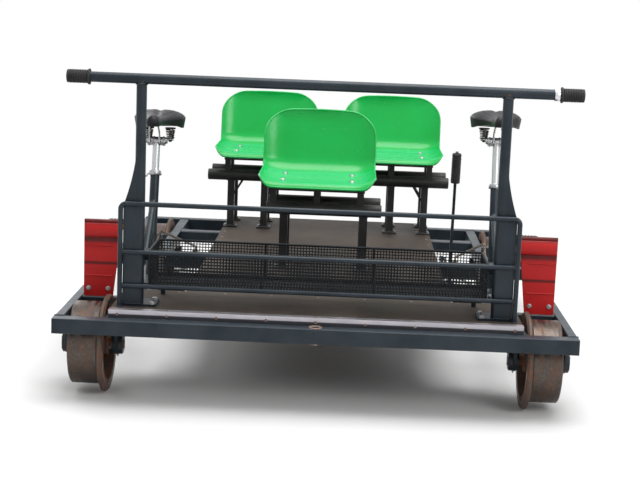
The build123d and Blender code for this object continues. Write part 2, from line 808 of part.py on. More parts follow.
# Cranksets: spindle, two arms with pedal pins, spider and toothed ring
arm_offset = spindle_length / 2 - crank_arm_thickness / 2
arm_turns = (("inner", -1, crank_angle + 180), ("outer", 1, crank_angle))
pin_length = pedal_gap + pedal_width
for name, side in sides:
    with BuildPart() as crankset:
        with BuildSketch(Plane.YZ.offset(side * station_x)):
            with Locations((crank_y, crank_z)):
                Circle(spindle_radius)
        extrude(amount=spindle_length / 2, both=True)
        for arm_name, across, turn in arm_turns:
            eye_y = crank_y + crank_length * cos(radians(turn))
            eye_z = crank_z + crank_length * sin(radians(turn))
            arm_x = side * (station_x + across * arm_offset)
            with BuildSketch(Plane.YZ.offset(arm_x)):
                with BuildLine():
                    CenterArc((crank_y, crank_z), crank_boss_radius, 0, 360)
                    CenterArc((eye_y, eye_z), crank_eye_radius, 0, 360)
                make_hull()
            extrude(amount=crank_arm_thickness / 2, both=True)
            pin_x = side * (station_x + across * (spindle_length / 2 + pin_length / 2))
            with BuildSketch(Plane.YZ.offset(pin_x)):
                with Locations((eye_y, eye_z)):
                    Circle(pedal_pin_radius)
            extrude(amount=pin_length / 2, both=True)
        ring_plane = Plane(origin=(side * chain_x, crank_y, crank_z), x_dir=(0, 1, 0), z_dir=(1, 0, 0))
        with BuildSketch(ring_plane):
            Circle(ring_radius - roller_radius)
            with PolarLocations(ring_radius + tooth_height - tooth_length / 2, chainring_teeth):
                Trapezoid(tooth_width, tooth_length, tooth_flank, rotation=-90)
            Circle(ring_radius - chainring_band, mode=Mode.SUBTRACT)
            with PolarLocations(ring_radius / 2, spider_arm_count):
                Rectangle(ring_radius - chainring_band / 2, spider_arm_width)
            Circle(spider_radius)
            Circle(spindle_radius, mode=Mode.SUBTRACT)
        extrude(amount=tooth_thickness / 2, both=True)
        with BuildSketch(Plane.YZ.offset(side * (station_x - spindle_length / 2 + crank_arm_thickness))):
            with Locations((crank_y, crank_z)):
                Circle(crank_boss_radius)
        spider_depth = side * (spindle_length / 2 - crank_arm_thickness - chainring_offset)
        extrude(amount=spider_depth)
    write(crankset, f"crankset_{name}")

# Pedals: a barrel with a cage of two bars and two end plates
for name, side in sides:
    for arm_name, across, turn in arm_turns:
        eye_y = crank_y + crank_length * cos(radians(turn))
        eye_z = crank_z + crank_length * sin(radians(turn))
        pedal_x = side * (station_x + across * (spindle_length / 2 + pedal_gap + pedal_width / 2))
        with BuildPart() as pedal:
            with Locations((pedal_x, eye_y, eye_z)):
                Box(pedal_width, pedal_length, pedal_thickness)
                Box(
                    pedal_width - 2 * pedal_end_plate,
                    pedal_length - 2 * pedal_bar,
                    pedal_thickness,
                    mode=Mode.SUBTRACT,
                )
            with BuildSketch(Plane.YZ.offset(pedal_x)):
                with Locations((eye_y, eye_z)):
                    Circle(pedal_barrel_radius)
            extrude(amount=pedal_width / 2, both=True)
            with BuildSketch(Plane.YZ.offset(pedal_x)):
                with Locations((eye_y, eye_z)):
                    Circle(pedal_pin_radius + running_fit)
            extrude(amount=pedal_width, both=True, mode=Mode.SUBTRACT)
        write(pedal, f"pedal_{name}_{arm_name}")

# Chains: two plate loops around ring and sprocket, joined by rollers on the straight runs
chain_run = hypot(rear_axle_y - crank_y, axle_z - crank_z)
chain_slope = atan2(axle_z - crank_z, rear_axle_y - crank_y)
wrap = acos((ring_radius - sprocket_radius) / chain_run)
plate_half = chain_plate_height / 2


def chain_outline(plate_x, grow):
    """Filled outline of the chain's loop on one plane, grown outward from its pitch line."""
    points = []
    for sign in (1, -1):
        angle = chain_slope + sign * wrap
        for centre_y, centre_z, radius in (
            (crank_y, crank_z, ring_radius + grow),
            (rear_axle_y, axle_z, sprocket_radius + grow),
        ):
            points.append((centre_y + radius * cos(angle), centre_z + radius * sin(angle)))
    top_front, top_rear, low_front, low_rear = points
    front_tip = (
        crank_y - (ring_radius + grow) * cos(chain_slope),
        crank_z - (ring_radius + grow) * sin(chain_slope),
    )
    rear_tip = (
        rear_axle_y + (sprocket_radius + grow) * cos(chain_slope),
        axle_z + (sprocket_radius + grow) * sin(chain_slope),
    )
    with BuildSketch(Plane.YZ.offset(plate_x)) as outline:
        with BuildLine():
            Line(top_front, top_rear)
            ThreePointArc(top_rear, rear_tip, low_rear)
            Line(low_rear, low_front)
            ThreePointArc(low_front, front_tip, top_front)
        make_face()
    return outline.sketch


straight_run = (chain_run**2 - (ring_radius - sprocket_radius) ** 2) ** 0.5
roller_count = int(straight_run // (chain_link_step * chain_pitch))
for name, side in sides:
    with BuildPart() as chain:
        for across in (-1, 1):
            plate_x = side * chain_x + across * (chain_inner_width + chain_plate) / 2
            extrude(chain_outline(plate_x, plate_half), amount=chain_plate / 2, both=True)
            extrude(
                chain_outline(plate_x, -plate_half),
                amount=chain_plate / 2,
                both=True,
                mode=Mode.SUBTRACT,
            )
        for sign in (1, -1):
            angle = chain_slope + sign * wrap
            start = (crank_y + ring_radius * cos(angle), crank_z + ring_radius * sin(angle))
            end = (
                rear_axle_y + sprocket_radius * cos(angle),
                axle_z + sprocket_radius * sin(angle),
            )
            run_y, run_z = unit(end[0] - start[0], end[1] - start[1])
            with BuildSketch(Plane.YZ.offset(side * chain_x)):
                for index in range(1, roller_count):
                    along = index * chain_link_step * chain_pitch
                    with Locations((start[0] + run_y * along, start[1] + run_z * along)):
                        RegularPolygon(roller_radius, 6)
            extrude(amount=(chain_inner_width + chain_plate) / 2, both=True)
    write(chain, f"chain_{name}")

# Seat stands: round cross tubes on legs, with bearers on short stubs under the shells
front_seat_y = front_axle_y + front_seat_setback
rear_seat_y = front_axle_y + rear_seat_setback
rear_legs = [sign * leg_x for sign in (-1, 1) for leg_x in rear_leg_xs]
bearer_top_z = shell_pan_z - shell_sheet - seat_gap
bearer_low_z = bearer_top_z - stand_bearer_height
tube_low_z = stand_tube_z - stand_tube_radius

# Columns: place along Y, half width, places of the legs, legs with a brace, places of the seats
stands = (
    (front_seat_y, front_stand_half_width, (-front_leg_x, front_leg_x), (), (front_seat_x,)),
    (
        rear_seat_y,
        rear_stand_half_width,
        rear_legs,
        (-rear_leg_xs[-1], rear_leg_xs[-1]),
        (-rear_seat_x, rear_seat_x),
    ),
)
with BuildPart() as seat_cross_tubes:
    for seat_y, half_width, leg_xs, braced_xs, seat_xs in stands:
        with BuildSketch(Plane.YZ):
            for row_offset in stand_row_offsets:
                with Locations((seat_y + row_offset, stand_tube_z)):
                    Circle(stand_tube_radius)
        extrude(amount=half_width, both=True)
write(seat_cross_tubes, "seat_cross_tubes")

with BuildPart() as seat_legs:
    for seat_y, half_width, leg_xs, braced_xs, seat_xs in stands:
        for row_offset in stand_row_offsets:
            row_y = seat_y + row_offset
            leg_height = stand_tube_z - deck_top_z
            for leg_x in leg_xs:
                with Locations((leg_x, row_y, deck_top_z + leg_height / 2)):
                    Box(stand_leg, stand_leg, leg_height)
                with Locations((leg_x, row_y, deck_top_z + stand_foot_thickness / 2)):
                    Box(stand_foot, stand_foot, stand_foot_thickness)
            for leg_x in braced_xs:
                inward = -1 if leg_x > 0 else 1
                with BuildSketch(Plane.XZ.offset(-row_y)):
                    with BuildLine():
                        Polyline(
                            (leg_x, tube_low_z - stand_brace_drop),
                            (leg_x + inward * stand_brace_reach, stand_tube_z),
                            (leg_x + inward * (stand_brace_reach + stand_brace_width), stand_tube_z),
                            (leg_x, tube_low_z - stand_brace_drop - stand_brace_width),
                            close=True,
                        )
                    make_face()
                extrude(amount=stand_brace_thickness / 2, both=True)
            with BuildSketch(Plane.YZ):
                with Locations((row_y, stand_tube_z)):
                    Circle(stand_tube_radius + seat_gap)
            extrude(amount=rear_stand_half_width, both=True, mode=Mode.SUBTRACT)
write(seat_legs, "seat_legs")

with BuildPart() as seat_bearers:
    for seat_y, half_width, leg_xs, braced_xs, seat_xs in stands:
        for row_offset in stand_row_offsets:
            row_y = seat_y + row_offset
            for seat_x in seat_xs:
                with Locations((seat_x, row_y, bearer_top_z - stand_bearer_height / 2)):
                    Box(stand_bearer_length, stand_bearer_width, stand_bearer_height)
                stub_height = bearer_low_z - stand_tube_z
                for stub_offset in stand_stub_offsets:
                    with Locations((seat_x + stub_offset, row_y, stand_tube_z + stub_height / 2)):
                        Box(stand_stub, stand_stub, stub_height)
            with BuildSketch(Plane.YZ):
                with Locations((row_y, stand_tube_z)):
                    Circle(stand_tube_radius + seat_gap)
            extrude(amount=rear_stand_half_width, both=True, mode=Mode.SUBTRACT)
write(seat_bearers, "seat_bearers")


def offset_points(points, distance):
    """Shift an open polyline to its left by a distance, with mitred corners."""
    shifted = []
    for index, (px, py) in enumerate(points):
        normals = []
        for first in (index - 1, index):
            if first < 0 or first + 1 >= len(points):
                continue
            dx, dy = unit(
                points[first + 1][0] - points[first][0], points[first + 1][1] - points[first][1]
            )
            normals.append((-dy, dx))
        nx = sum(n[0] for n in normals)
        ny = sum(n[1] for n in normals)
        nx, ny = unit(nx, ny)
        scale = distance / (nx * normals[0][0] + ny * normals[0][1])
        shifted.append((px + nx * scale, py + ny * scale))
    return shifted


def shell_region(seat_x, seat_y, low, high):
    """Side outline of a shell on its middle plane, between two depths above its underside."""
    under_z = shell_pan_z - shell_sheet
    pan_rear_y = seat_y + shell_pan_depth
    spine = [
        (seat_y, under_z - shell_lip_drop),
        (seat_y + shell_sheet, under_z),
        (pan_rear_y, under_z),
        (pan_rear_y + shell_back_lean, shell_pan_z + shell_back_height),
    ]
    low_points = offset_points(spine, low)
    high_points = offset_points(spine, high)
    with BuildSketch(Plane.YZ.offset(seat_x)) as region:
        with BuildLine():
            for points, depth in ((low_points, low), (high_points, high)):
                FilletPolyline(*points, radius=[shell_lip_radius + depth, shell_fold_radius - depth])
            Line(low_points[0], high_points[0])
            Line(low_points[-1], high_points[-1])
        make_face()
    return region.sketch


# Seat shells: pan and low back in one sheet, with raised sides and rounded corners
shell_rim = shell_sheet + shell_side_height
shell_front_reach = shell_rim + shell_sheet
shell_total_depth = shell_pan_depth + shell_back_lean + 2 * shell_front_reach
shell_half = shell_seat_width / 2
shell_top_z = shell_pan_z + shell_back_height
shell_total_height = shell_lip_drop + shell_back_height + shell_rim
for label, seat_x, seat_y in (
    ("seat_shell_front", front_seat_x, front_seat_y),
    ("seat_shell_rear_left", -rear_seat_x, rear_seat_y),
    ("seat_shell_rear_right", rear_seat_x, rear_seat_y),
):
    with BuildPart() as shell:
        extrude(
            shell_region(seat_x, seat_y, 0, shell_rim),
            amount=shell_seat_width / 2,
            both=True,
        )
        extrude(
            shell_region(seat_x, seat_y, shell_sheet, shell_rim + shell_sheet),
            amount=shell_seat_width / 2 - shell_sheet,
            both=True,
            mode=Mode.SUBTRACT,
        )
        front_y = seat_y - shell_front_reach
        low_z = shell_pan_z - shell_lip_drop - 2 * shell_sheet
        with BuildSketch(Plane.XZ.offset(-front_y)) as back_outline:
            with BuildLine():
                Polyline(
                    (seat_x - shell_half, shell_top_z - shell_back_arch),
                    (seat_x - shell_half, low_z),
                    (seat_x + shell_half, low_z),
                    (seat_x + shell_half, shell_top_z - shell_back_arch),
                )
                ThreePointArc(
                    (seat_x - shell_half, shell_top_z - shell_back_arch),
                    (seat_x, shell_top_z),
                    (seat_x + shell_half, shell_top_z - shell_back_arch),
                )
            make_face()
            fillet(back_outline.vertices().group_by(Axis.Z)[-1], shell_back_corner)
        extrude(amount=-shell_total_depth, mode=Mode.INTERSECT)
        with BuildSketch(Plane.XY.offset(low_z)) as pan_outline:
            with Locations((seat_x, front_y + shell_total_depth / 2)):
                Rectangle(shell_seat_width, shell_total_depth)
            fillet(pan_outline.vertices().group_by(Axis.Y)[0], shell_pan_corner)
        extrude(amount=shell_total_height, mode=Mode.INTERSECT)
    write(shell, label)

# Hand brake: cross shaft under the inner tubes, arms to the shoes, pull rod and lever
brake_y = rear_axle_y - brake_shaft_lead
shoe_face_y = rear_axle_y - tread_radius - shoe_gap
lever_pivot_y = front_axle_y + lever_pivot_setback
lever_low_z = brake_shaft_z + rod_boss_radius
rod_rear_z = brake_shaft_z + lever_rod_rise
shaft_half = tread_mid_x + brake_shaft_end
with BuildPart() as brake_shaft:
    with BuildSketch(Plane.YZ):
        with Locations((brake_y, brake_shaft_z)):
            Circle(brake_shaft_radius)
    extrude(amount=shaft_half, both=True)
    for name, side in sides:
        with BuildSketch(Plane.YZ.offset(side * inner_tube_x)):
            with BuildLine():
                CenterArc((brake_y, brake_shaft_z), brake_boss_radius, 0, 360)
                Line(
                    (brake_y - brake_arm_foot / 2, frame_bottom_z),
                    (brake_y + brake_arm_foot / 2, frame_bottom_z),
                )
            make_hull()
        extrude(amount=brake_arm_thickness / 2, both=True)
        shoe_rear_y = shoe_face_y - shoe_thickness
        with BuildSketch(Plane.YZ.offset(side * tread_mid_x)):
            with BuildLine():
                CenterArc((brake_y, brake_shaft_z), brake_boss_radius, 0, 360)
                Line(
                    (shoe_rear_y, axle_z - shoe_height / 4),
                    (shoe_rear_y, axle_z + shoe_height / 4),
                )
            make_hull()
        extrude(amount=brake_arm_thickness / 2, both=True)
    with BuildSketch(Plane.YZ.offset(lever_x)):
        with BuildLine():
            CenterArc((brake_y, brake_shaft_z), brake_boss_radius, 0, 360)
            CenterArc((brake_y, rod_rear_z), rod_boss_radius, 0, 360)
        make_hull()
    extrude(amount=lever_thickness / 2, both=True)
write(brake_shaft, "brake_shaft")

rod_x = lever_x + lever_thickness / 2 + rod_radius + seat_gap
rod_run = hypot(brake_y - lever_pivot_y, rod_rear_z - lever_low_z)
rod_plane = Plane(
    origin=(rod_x, lever_pivot_y, lever_low_z),
    x_dir=(1, 0, 0),
    z_dir=(0, brake_y - lever_pivot_y, rod_rear_z - lever_low_z),
)
with BuildPart() as brake_rod:
    with BuildSketch(rod_plane.offset(-rod_radius)):
        Circle(rod_radius)
    extrude(amount=rod_run + rod_boss_radius)
write(brake_rod, "brake_rod")

lever_top_y = lever_pivot_y - lever_lean
grip_direction = (0, lever_top_y - lever_pivot_y, lever_top_z - lever_low_z)
bracket_end_y = middle_bay_y - cross_tube_depth / 2
with BuildPart() as brake_lever:
    with BuildSketch(Plane.YZ.offset(lever_x)):
        with BuildLine():
            CenterArc((lever_pivot_y, lever_low_z), lever_width / 2, 0, 360)
            CenterArc((lever_top_y, lever_top_z), lever_tip_radius, 0, 360)
        make_hull()
    extrude(amount=lever_thickness / 2, both=True)
    with BuildSketch(Plane(origin=(lever_x, lever_top_y, lever_top_z), z_dir=grip_direction)):
        Circle(lever_grip_radius)
    extrude(amount=-lever_grip_length)
    with Locations((lever_x, (bracket_end_y + lever_pivot_y) / 2, frame_mid_z)):
        Box(lever_thickness, bracket_end_y - lever_pivot_y, frame_height)
write(brake_lever, "brake_lever")

with BuildPart() as brake_shoes:
    for name, side in sides:
        with Locations((side * tread_mid_x, shoe_face_y - shoe_thickness / 2 + shoe_gap, axle_z)):
            Box(shoe_width, shoe_thickness + 2 * shoe_gap, shoe_height)
        with BuildSketch(Plane.YZ.offset(side * tread_mid_x)):
            with Locations((rear_axle_y, axle_z)):
                Circle(tread_radius + shoe_gap)
        extrude(amount=shoe_width, both=True, mode=Mode.SUBTRACT)
write(brake_shoes, "brake_shoes")
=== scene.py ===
from math import acos, atan2, cos, hypot, pi, radians, sin, sqrt, tan

import bmesh
import bpy
from mathutils import Matrix, Vector, noise


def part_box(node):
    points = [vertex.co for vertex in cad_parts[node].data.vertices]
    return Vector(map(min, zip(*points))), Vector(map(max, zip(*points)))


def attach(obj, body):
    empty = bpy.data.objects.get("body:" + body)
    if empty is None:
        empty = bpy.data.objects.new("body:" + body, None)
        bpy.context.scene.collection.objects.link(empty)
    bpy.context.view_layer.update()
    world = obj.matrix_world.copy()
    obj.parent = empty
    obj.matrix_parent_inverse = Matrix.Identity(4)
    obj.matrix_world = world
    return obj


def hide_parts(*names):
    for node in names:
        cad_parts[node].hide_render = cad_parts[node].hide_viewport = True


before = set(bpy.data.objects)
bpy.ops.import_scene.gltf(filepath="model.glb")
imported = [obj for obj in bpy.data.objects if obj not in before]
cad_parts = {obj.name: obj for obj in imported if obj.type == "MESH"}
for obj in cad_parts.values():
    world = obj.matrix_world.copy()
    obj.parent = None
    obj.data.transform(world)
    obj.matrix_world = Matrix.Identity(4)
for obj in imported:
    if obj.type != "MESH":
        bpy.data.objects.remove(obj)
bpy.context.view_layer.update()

# Rail bike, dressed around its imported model. Lengths are in metres.
BOTH = (-1, 1)
SIDES = (("left", -1), ("right", 1))
CORNERS = (("front_left", -1), ("front_right", 1), ("rear_left", -1), ("rear_right", 1))
ARMS = ("inner", "outer")

# Camera of the photograph, aimed at the bike and drawn in until the bike fills the picture
CAMERA_PLACE = (0.079, -5.4765, 1.3374)
CAMERA_YAW = -0.0168
CAMERA_PITCH = 0.1714
CAMERA_ROLL = 0.0385
CAMERA_LENS = 80.0

# The floor is itself up to the near distance and plain white from the far one
FLOOR_NEAR = 1.35
FLOOR_FAR = 3.0
FLOOR_SIZE = 40.0

# Lamps: name, place, diameter, watts; all aim at the middle of the bike
LAMPS = (
    ("top_light", (0.5, -0.6, 5.0), 4.0, 230.0),
    ("front_light", (3.2, -4.4, 2.8), 2.0, 75.0),
    ("rear_light", (-3.0, 4.0, 3.0), 3.0, 60.0),
)
LAMP_AIM = Vector((0, 0, 0.5))

# Colours, linear
WHITE = (1.0, 1.0, 1.0)
TEAL_BLACK = (0.0035, 0.0105, 0.0165)
TEAL_DUST = (0.085, 0.105, 0.125)
STAND_BLACK = (0.010, 0.010, 0.011)
STAND_DUST = (0.12, 0.115, 0.11)
CRANK_BLACK = (0.014, 0.014, 0.015)
SPRING_BLACK = (0.016, 0.016, 0.017)
METAL_DUST = (0.10, 0.095, 0.09)
PRIMER = (0.16, 0.075, 0.045)
RUST_DARK = (0.055, 0.022, 0.012)
RUST_BRIGHT = (0.26, 0.085, 0.028)
MILL_SCALE = (0.075, 0.058, 0.050)
TREAD_DARK = (0.055, 0.045, 0.038)
TREAD_BRIGHT = (0.120, 0.106, 0.096)
IRON_GREY = (0.09, 0.075, 0.066)
STEEL_BARE = (0.50, 0.49, 0.47)
STEEL_DARK = (0.34, 0.32, 0.29)
ZINC = (0.46, 0.47, 0.48)
ALLOY = (0.62, 0.62, 0.64)
EDGE_ALLOY = (0.60, 0.58, 0.62)
# Dark colour of painted shade on the deck edge's strip
EDGE_PAINTED_SHADE = (0.060, 0.060, 0.068)
RING_PALE = (0.78, 0.78, 0.80)
METAL_STAIN = (0.19, 0.17, 0.155)
OIL_DARK = (0.045, 0.035, 0.026)
OIL_THIN = (0.16, 0.115, 0.075)
CHAIN_RUBBED = (0.52, 0.49, 0.44)
SEAT_GREEN = (0.0006, 0.345, 0.052)
SEAT_GREEN_PALE = (0.004, 0.430, 0.090)
SEAT_RUBBED = (0.004, 0.260, 0.070)
SEAT_SCRATCH = (0.050, 0.540, 0.190)
SEAT_EDGE = (0.050, 0.560, 0.200)
# Pale mint painted on the seats' level faces as a reflection
SEAT_PAINTED_REFLECTION = (0.075, 0.560, 0.290)
GUARD_RED = (0.480, 0.009, 0.009)
GUARD_RED_DARK = (0.210, 0.006, 0.008)
# Dark red painted shade, for the bands on the guards
PAINTED_SHADE_RED = (0.095, 0.003, 0.003)
BOARD_BROWN = (0.036, 0.026, 0.021)
BOARD_WORN = (0.085, 0.070, 0.059)
BOARD_SCRATCH = (0.26, 0.21, 0.17)
GRIT = (0.12, 0.10, 0.08)
PLY_PALE = (0.34, 0.22, 0.12)
PLY_DARK = (0.13, 0.075, 0.04)
BLACK_PLASTIC = (0.009, 0.009, 0.010)
CAP_BLACK = (0.014, 0.014, 0.015)
BASKET_BLACK = (0.003, 0.005, 0.007)
RUBBER_BLOOM = (0.085, 0.082, 0.080)
AMBER = (0.62, 0.20, 0.012)
VINYL_BLACK = (0.007, 0.0065, 0.009)
VINYL_RUBBED = (0.022, 0.020, 0.025)
VINYL_DUST = (0.12, 0.115, 0.13)

# Places shared with the model's source
FLANGE_HEIGHT = 0.025
SHELL_PAN_Z = 0.646
SEAT_ROWS = {"seat_shell_front": -0.275, "seat_shell_rear_left": 0.635, "seat_shell_rear_right": 0.635}
STAND_LEGS = ((-0.275, (-0.150, 0.150)), (0.635, (-0.425, -0.278, 0.278, 0.425)))
STAND_TUBES = ((-0.275, 0.215), (0.635, 0.526))
STAND_TUBE_Z = 0.538
STAND_ROWS = (0.095, 0.285)
STATION_X = 0.632
CRANK_Y = -0.450
CRANK_Z = 0.390
BEAM_FACE_Y = 1.020
COUPLING_Y = 1.045
LONG_TUBES = ((0.827, 0.015), (0.660, 0.020))
CROSS_END_X = 0.640
CROSS_YS = (-0.6904, 0.150, 0.715)
BAY_END_XS = (0.680, 0.812)
BAY_YS = (-0.7004, 0.150, 0.6084)
POST_X = 0.585
FLARE_X = 0.6065
BAR_Y = -0.930
BAR_Z = 1.049
HOOP_Y = -0.9583
HOOP_FOOT_X = 0.643
RAIL_END_X = 0.6345
RAIL_ZS = (0.378, 0.490)
REST_Y = -0.9512
REST_XS = (0.580, 0.634)
REST_ZS = (0.378, 0.490, 0.640)
POST_TOP_Z = 1.0325
LEG_TOP_Z = 0.516
BRAKE_X = 0.4995
BRAKE_Y = 0.560
BRAKE_ROD_Z = 0.234
SHAFT_END_X = 0.794
SHAFT_Z = 0.200
SHOE_BOLT_X = 0.7645


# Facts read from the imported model
def middle(node):
    low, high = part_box(node)
    return (low + high) / 2


axle_places = {name: middle(f"wheel_{name}") for name, side in CORNERS}
wheel_low, wheel_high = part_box("wheel_front_left")
flange_radius = (wheel_high.z - wheel_low.z) / 2
tread_radius = flange_radius - FLANGE_HEIGHT
deck_low, deck_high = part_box("deck_front")
deck_top_z = deck_high.z
side_low, side_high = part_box("frame_side_tubes")
frame_top_z, frame_bottom_z = side_high.z, side_low.z
guard_low, guard_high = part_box("guards")


# Node helpers
def shaded(colour, share, lift=0.0):
    """A colour scaled and lifted, up to white."""
    return tuple(min(1.0, share * part + lift) for part in colour)


class Look:
    """A node tree with one short call for each kind of node used here."""

    def __init__(self, name, owner=None):
        self.owner = owner or bpy.data.materials.new(name)
        self.owner.use_nodes = True
        self.tree = self.owner.node_tree
        self.shader = self.tree.nodes.get("Principled BSDF")

    def node(self, kind, **settings):
        made = self.tree.nodes.new(kind)
        for key, value in settings.items():
            setattr(made, key, value)
        return made

    def link(self, source, target):
        self.tree.links.new(source, target)

    def feed(self, value, target):
        """Link a socket, or set a plain value."""
        if isinstance(value, bpy.types.NodeSocket):
            self.link(value, target)
        elif isinstance(value, tuple) and len(value) == 3 and len(target.default_value) == 4:
            target.default_value = (*value, 1.0)
        else:
            target.default_value = value

    def made(self, kind, output, values, **settings):
        """A node's output, with its inputs fed by name or number."""
        node = self.node(kind, **settings)
        for key, value in values.items():
            self.feed(value, node.inputs[key])
        return node.outputs[output]

    def place(self, stretch=(1, 1, 1), shift=(0, 0, 0)):
        """Coordinates fixed to the piece, stretched along each axis."""
        fixed = self.node("ShaderNodeTexCoord").outputs["Object"]
        values = {"Vector": fixed, "Scale": stretch, "Location": shift}
        return self.made("ShaderNodeMapping", "Vector", values)

    def axis(self, letter, vector=None):
        """One axis of a vector, by default of the place on the piece."""
        return self.made("ShaderNodeSeparateXYZ", letter, {0: vector or self.place()})

    def noise(self, scale, detail=4.0, rough=0.55, vector=None):
        return self.made("ShaderNodeTexNoise", "Fac", {
            "Vector": vector or self.place(), "Scale": scale, "Detail": detail, "Roughness": rough,
        })

    def cells(self, scale):
        return self.made("ShaderNodeTexVoronoi", "Distance", {"Vector": self.place(), "Scale": scale})

    def wave(self, letter, scale, distortion=0.0):
        return self.made("ShaderNodeTexWave", "Fac", {
            "Vector": self.place(), "Scale": scale, "Distortion": distortion,
        }, bands_direction=letter)

    def ramp(self, value, low, high, start=0.0, end=1.0):
        """A smooth step of a value from low to high."""
        return self.made("ShaderNodeMapRange", "Result", {
            "Value": value, "From Min": low, "From Max": high, "To Min": start, "To Max": end,
        }, interpolation_type="SMOOTHSTEP")

    def math(self, operation, first, second=0.0):
        return self.made("ShaderNodeMath", 0, {0: first, 1: second}, operation=operation)

    def plus(self, first, second):
        return self.math("ADD", first, second)

    def minus(self, first, second):
        return self.math("SUBTRACT", first, second)

    def times(self, first, second):
        return self.math("MULTIPLY", first, second)

    def most(self, first, second):
        return self.math("MAXIMUM", first, second)

    def mix(self, factor, first, second):
        """A colour between two; the node's colour inputs are its numbers 6 and 7."""
        return self.made("ShaderNodeMix", 2, {"Factor": factor, 6: first, 7: second}, data_type="RGBA")

    def bump(self, height, distance, strength=1.0, normal=None):
        made = self.node("ShaderNodeBump")
        made.inputs["Distance"].default_value = distance
        made.inputs["Strength"].default_value = strength
        self.link(height, made.inputs["Height"])
        if normal is not None:
            self.link(normal, made.inputs["Normal"])
        return made.outputs["Normal"]

    def facing_up(self):
        """How far the surface faces up, from -1 to 1."""
        return self.axis("Z", self.node("ShaderNodeNewGeometry").outputs["Normal"])

    def edge(self, radius=0.004, low=0.02, high=0.12):
        """1 on outer edges within a radius, 0 on flat faces."""
        rounded = self.made("ShaderNodeBevel", "Normal", {"Radius": radius}, samples=6)
        flat = self.node("ShaderNodeNewGeometry").outputs["Normal"]
        dot = self.made("ShaderNodeVectorMath", "Value", {0: rounded, 1: flat}, operation="DOT_PRODUCT")
        return self.ramp(self.minus(1.0, dot), low, high)

    def looked_at(self):
        """1 for rays that show the background: from the camera, off a gloss or through glass."""
        rays = self.node("ShaderNodeLightPath").outputs
        direct = self.most(rays["Is Camera Ray"], rays["Is Glossy Ray"])
        return self.most(direct, rays["Is Transmission Ray"])

    def finish(self, colour, roughness, normal=None, metallic=0.0, **constants):
        """Feed the shader, and set its constant sockets by name."""
        self.feed(colour, self.shader.inputs["Base Color"])
        self.feed(roughness, self.shader.inputs["Roughness"])
        self.feed(metallic, self.shader.inputs["Metallic"])
        if normal is not None:
            self.link(normal, self.shader.inputs["Normal"])
        for name, value in constants.items():
            self.shader.inputs[name.replace("_", " ")].default_value = value
        return self.owner


# Materials
def painted(name, colour, dust, gloss, chips, upward_dust, shade_bands=()):
    """Brushed-on machine paint: orange peel, dust on top faces, worn edges down to rusty steel.

    Bands, a list of (height, reach), are dark level lines of painted shade, as falls under a rolled edge or
    along a rib.
    """
    look = Look(name)
    base = look.mix(look.ramp(look.noise(7.0, 6.0), 0.3, 0.7, 0.0, 0.16), colour, dust)
    speck = look.noise(85.0, 5.0, 0.7)
    film = look.noise(21.0, 6.0, 0.7)
    settled = look.times(look.ramp(look.facing_up(), 0.3, 0.95), upward_dust)
    dusty = look.times(settled, look.ramp(film, 0.25, 0.75, 0.45, 1.0))
    coated = look.mix(dusty, base, dust)
    # Painted shade: each band darkens the paint toward dark red along a level line
    for height, reach in shade_bands:
        away = look.math("ABSOLUTE", look.minus(look.axis("Z"), height))
        near = look.ramp(away, 0.10 * reach, reach, 1.0, 0.0)
        coated = look.mix(look.times(near, look.ramp(film, 0.1, 0.5, 0.6, 1.0)), coated, PAINTED_SHADE_RED)
    broken = look.times(look.edge(), look.ramp(speck, 0.66 - 0.3 * chips, 0.78 - 0.3 * chips))
    spot = look.ramp(look.noise(46.0, 8.0, 0.75), 0.74, 0.78, 0.0, chips)
    bare = look.most(broken, spot)
    rust = look.mix(look.noise(120.0, 6.0), RUST_DARK, PRIMER)
    peel = look.bump(look.noise(260.0, 2.0), 0.0004, 0.35)
    normal = look.bump(bare, 0.0004, 0.8, peel)
    dull = look.plus(look.ramp(film, 0.2, 0.8, gloss, gloss + 0.16), look.times(dusty, 0.3))
    rough = look.most(dull, look.times(bare, 0.85))
    return look.finish(look.mix(bare, coated, rust), rough, normal, Specular_IOR_Level=0.30)


def wheel_steel(name, axle):
    """Turned steel: a tread polished by the rail, and a rusty rim and web with mill scale."""
    look = Look(name)
    from_y = look.minus(look.axis("Y"), axle.y)
    from_z = look.minus(look.axis("Z"), axle.z)
    radius = look.math("SQRT", look.plus(look.math("POWER", from_y, 2.0), look.math("POWER", from_z, 2.0)))
    around = look.times(look.math("ARCTAN2", from_z, from_y), 0.02)
    rings = look.made("ShaderNodeCombineXYZ", 0, {0: radius, 1: around, 2: look.axis("X")})
    turned = look.noise(900.0, 3.0, vector=rings)
    mottle = look.noise(26.0, 8.0, 0.7)
    fine = look.noise(170.0, 6.0, 0.7)
    rusty = look.mix(look.ramp(fine, 0.3, 0.7), RUST_DARK, RUST_BRIGHT)
    scale = look.mix(look.ramp(mottle, 0.38, 0.62), rusty, MILL_SCALE)
    inside = look.ramp(radius, tread_radius - 0.0035, tread_radius - 0.0012)
    outside = look.ramp(radius, tread_radius + 0.010, tread_radius + 0.014, 1.0, 0.0)
    streak = look.ramp(look.noise(60.0, vector=rings), 0.30, 0.62, 0.45, 1.0)
    polished = look.times(look.times(inside, outside), streak)
    lip = look.times(look.ramp(radius, flange_radius - 0.004, flange_radius - 0.001), 0.55)
    bright = look.most(polished, look.most(lip, look.times(look.edge(0.003), 0.6)))
    shine = look.mix(look.ramp(turned, 0.3, 0.7), TREAD_DARK, TREAD_BRIGHT)
    rough = look.ramp(bright, 0.0, 1.0, 0.84, 0.34)
    normal = look.bump(look.plus(look.times(fine, 0.7), look.times(turned, 0.3)), 0.0007, 0.6)
    metallic = look.ramp(bright, 0.1, 0.9, 0.15, 1.0)
    return look.finish(look.mix(bright, scale, shine), rough, normal, metallic)


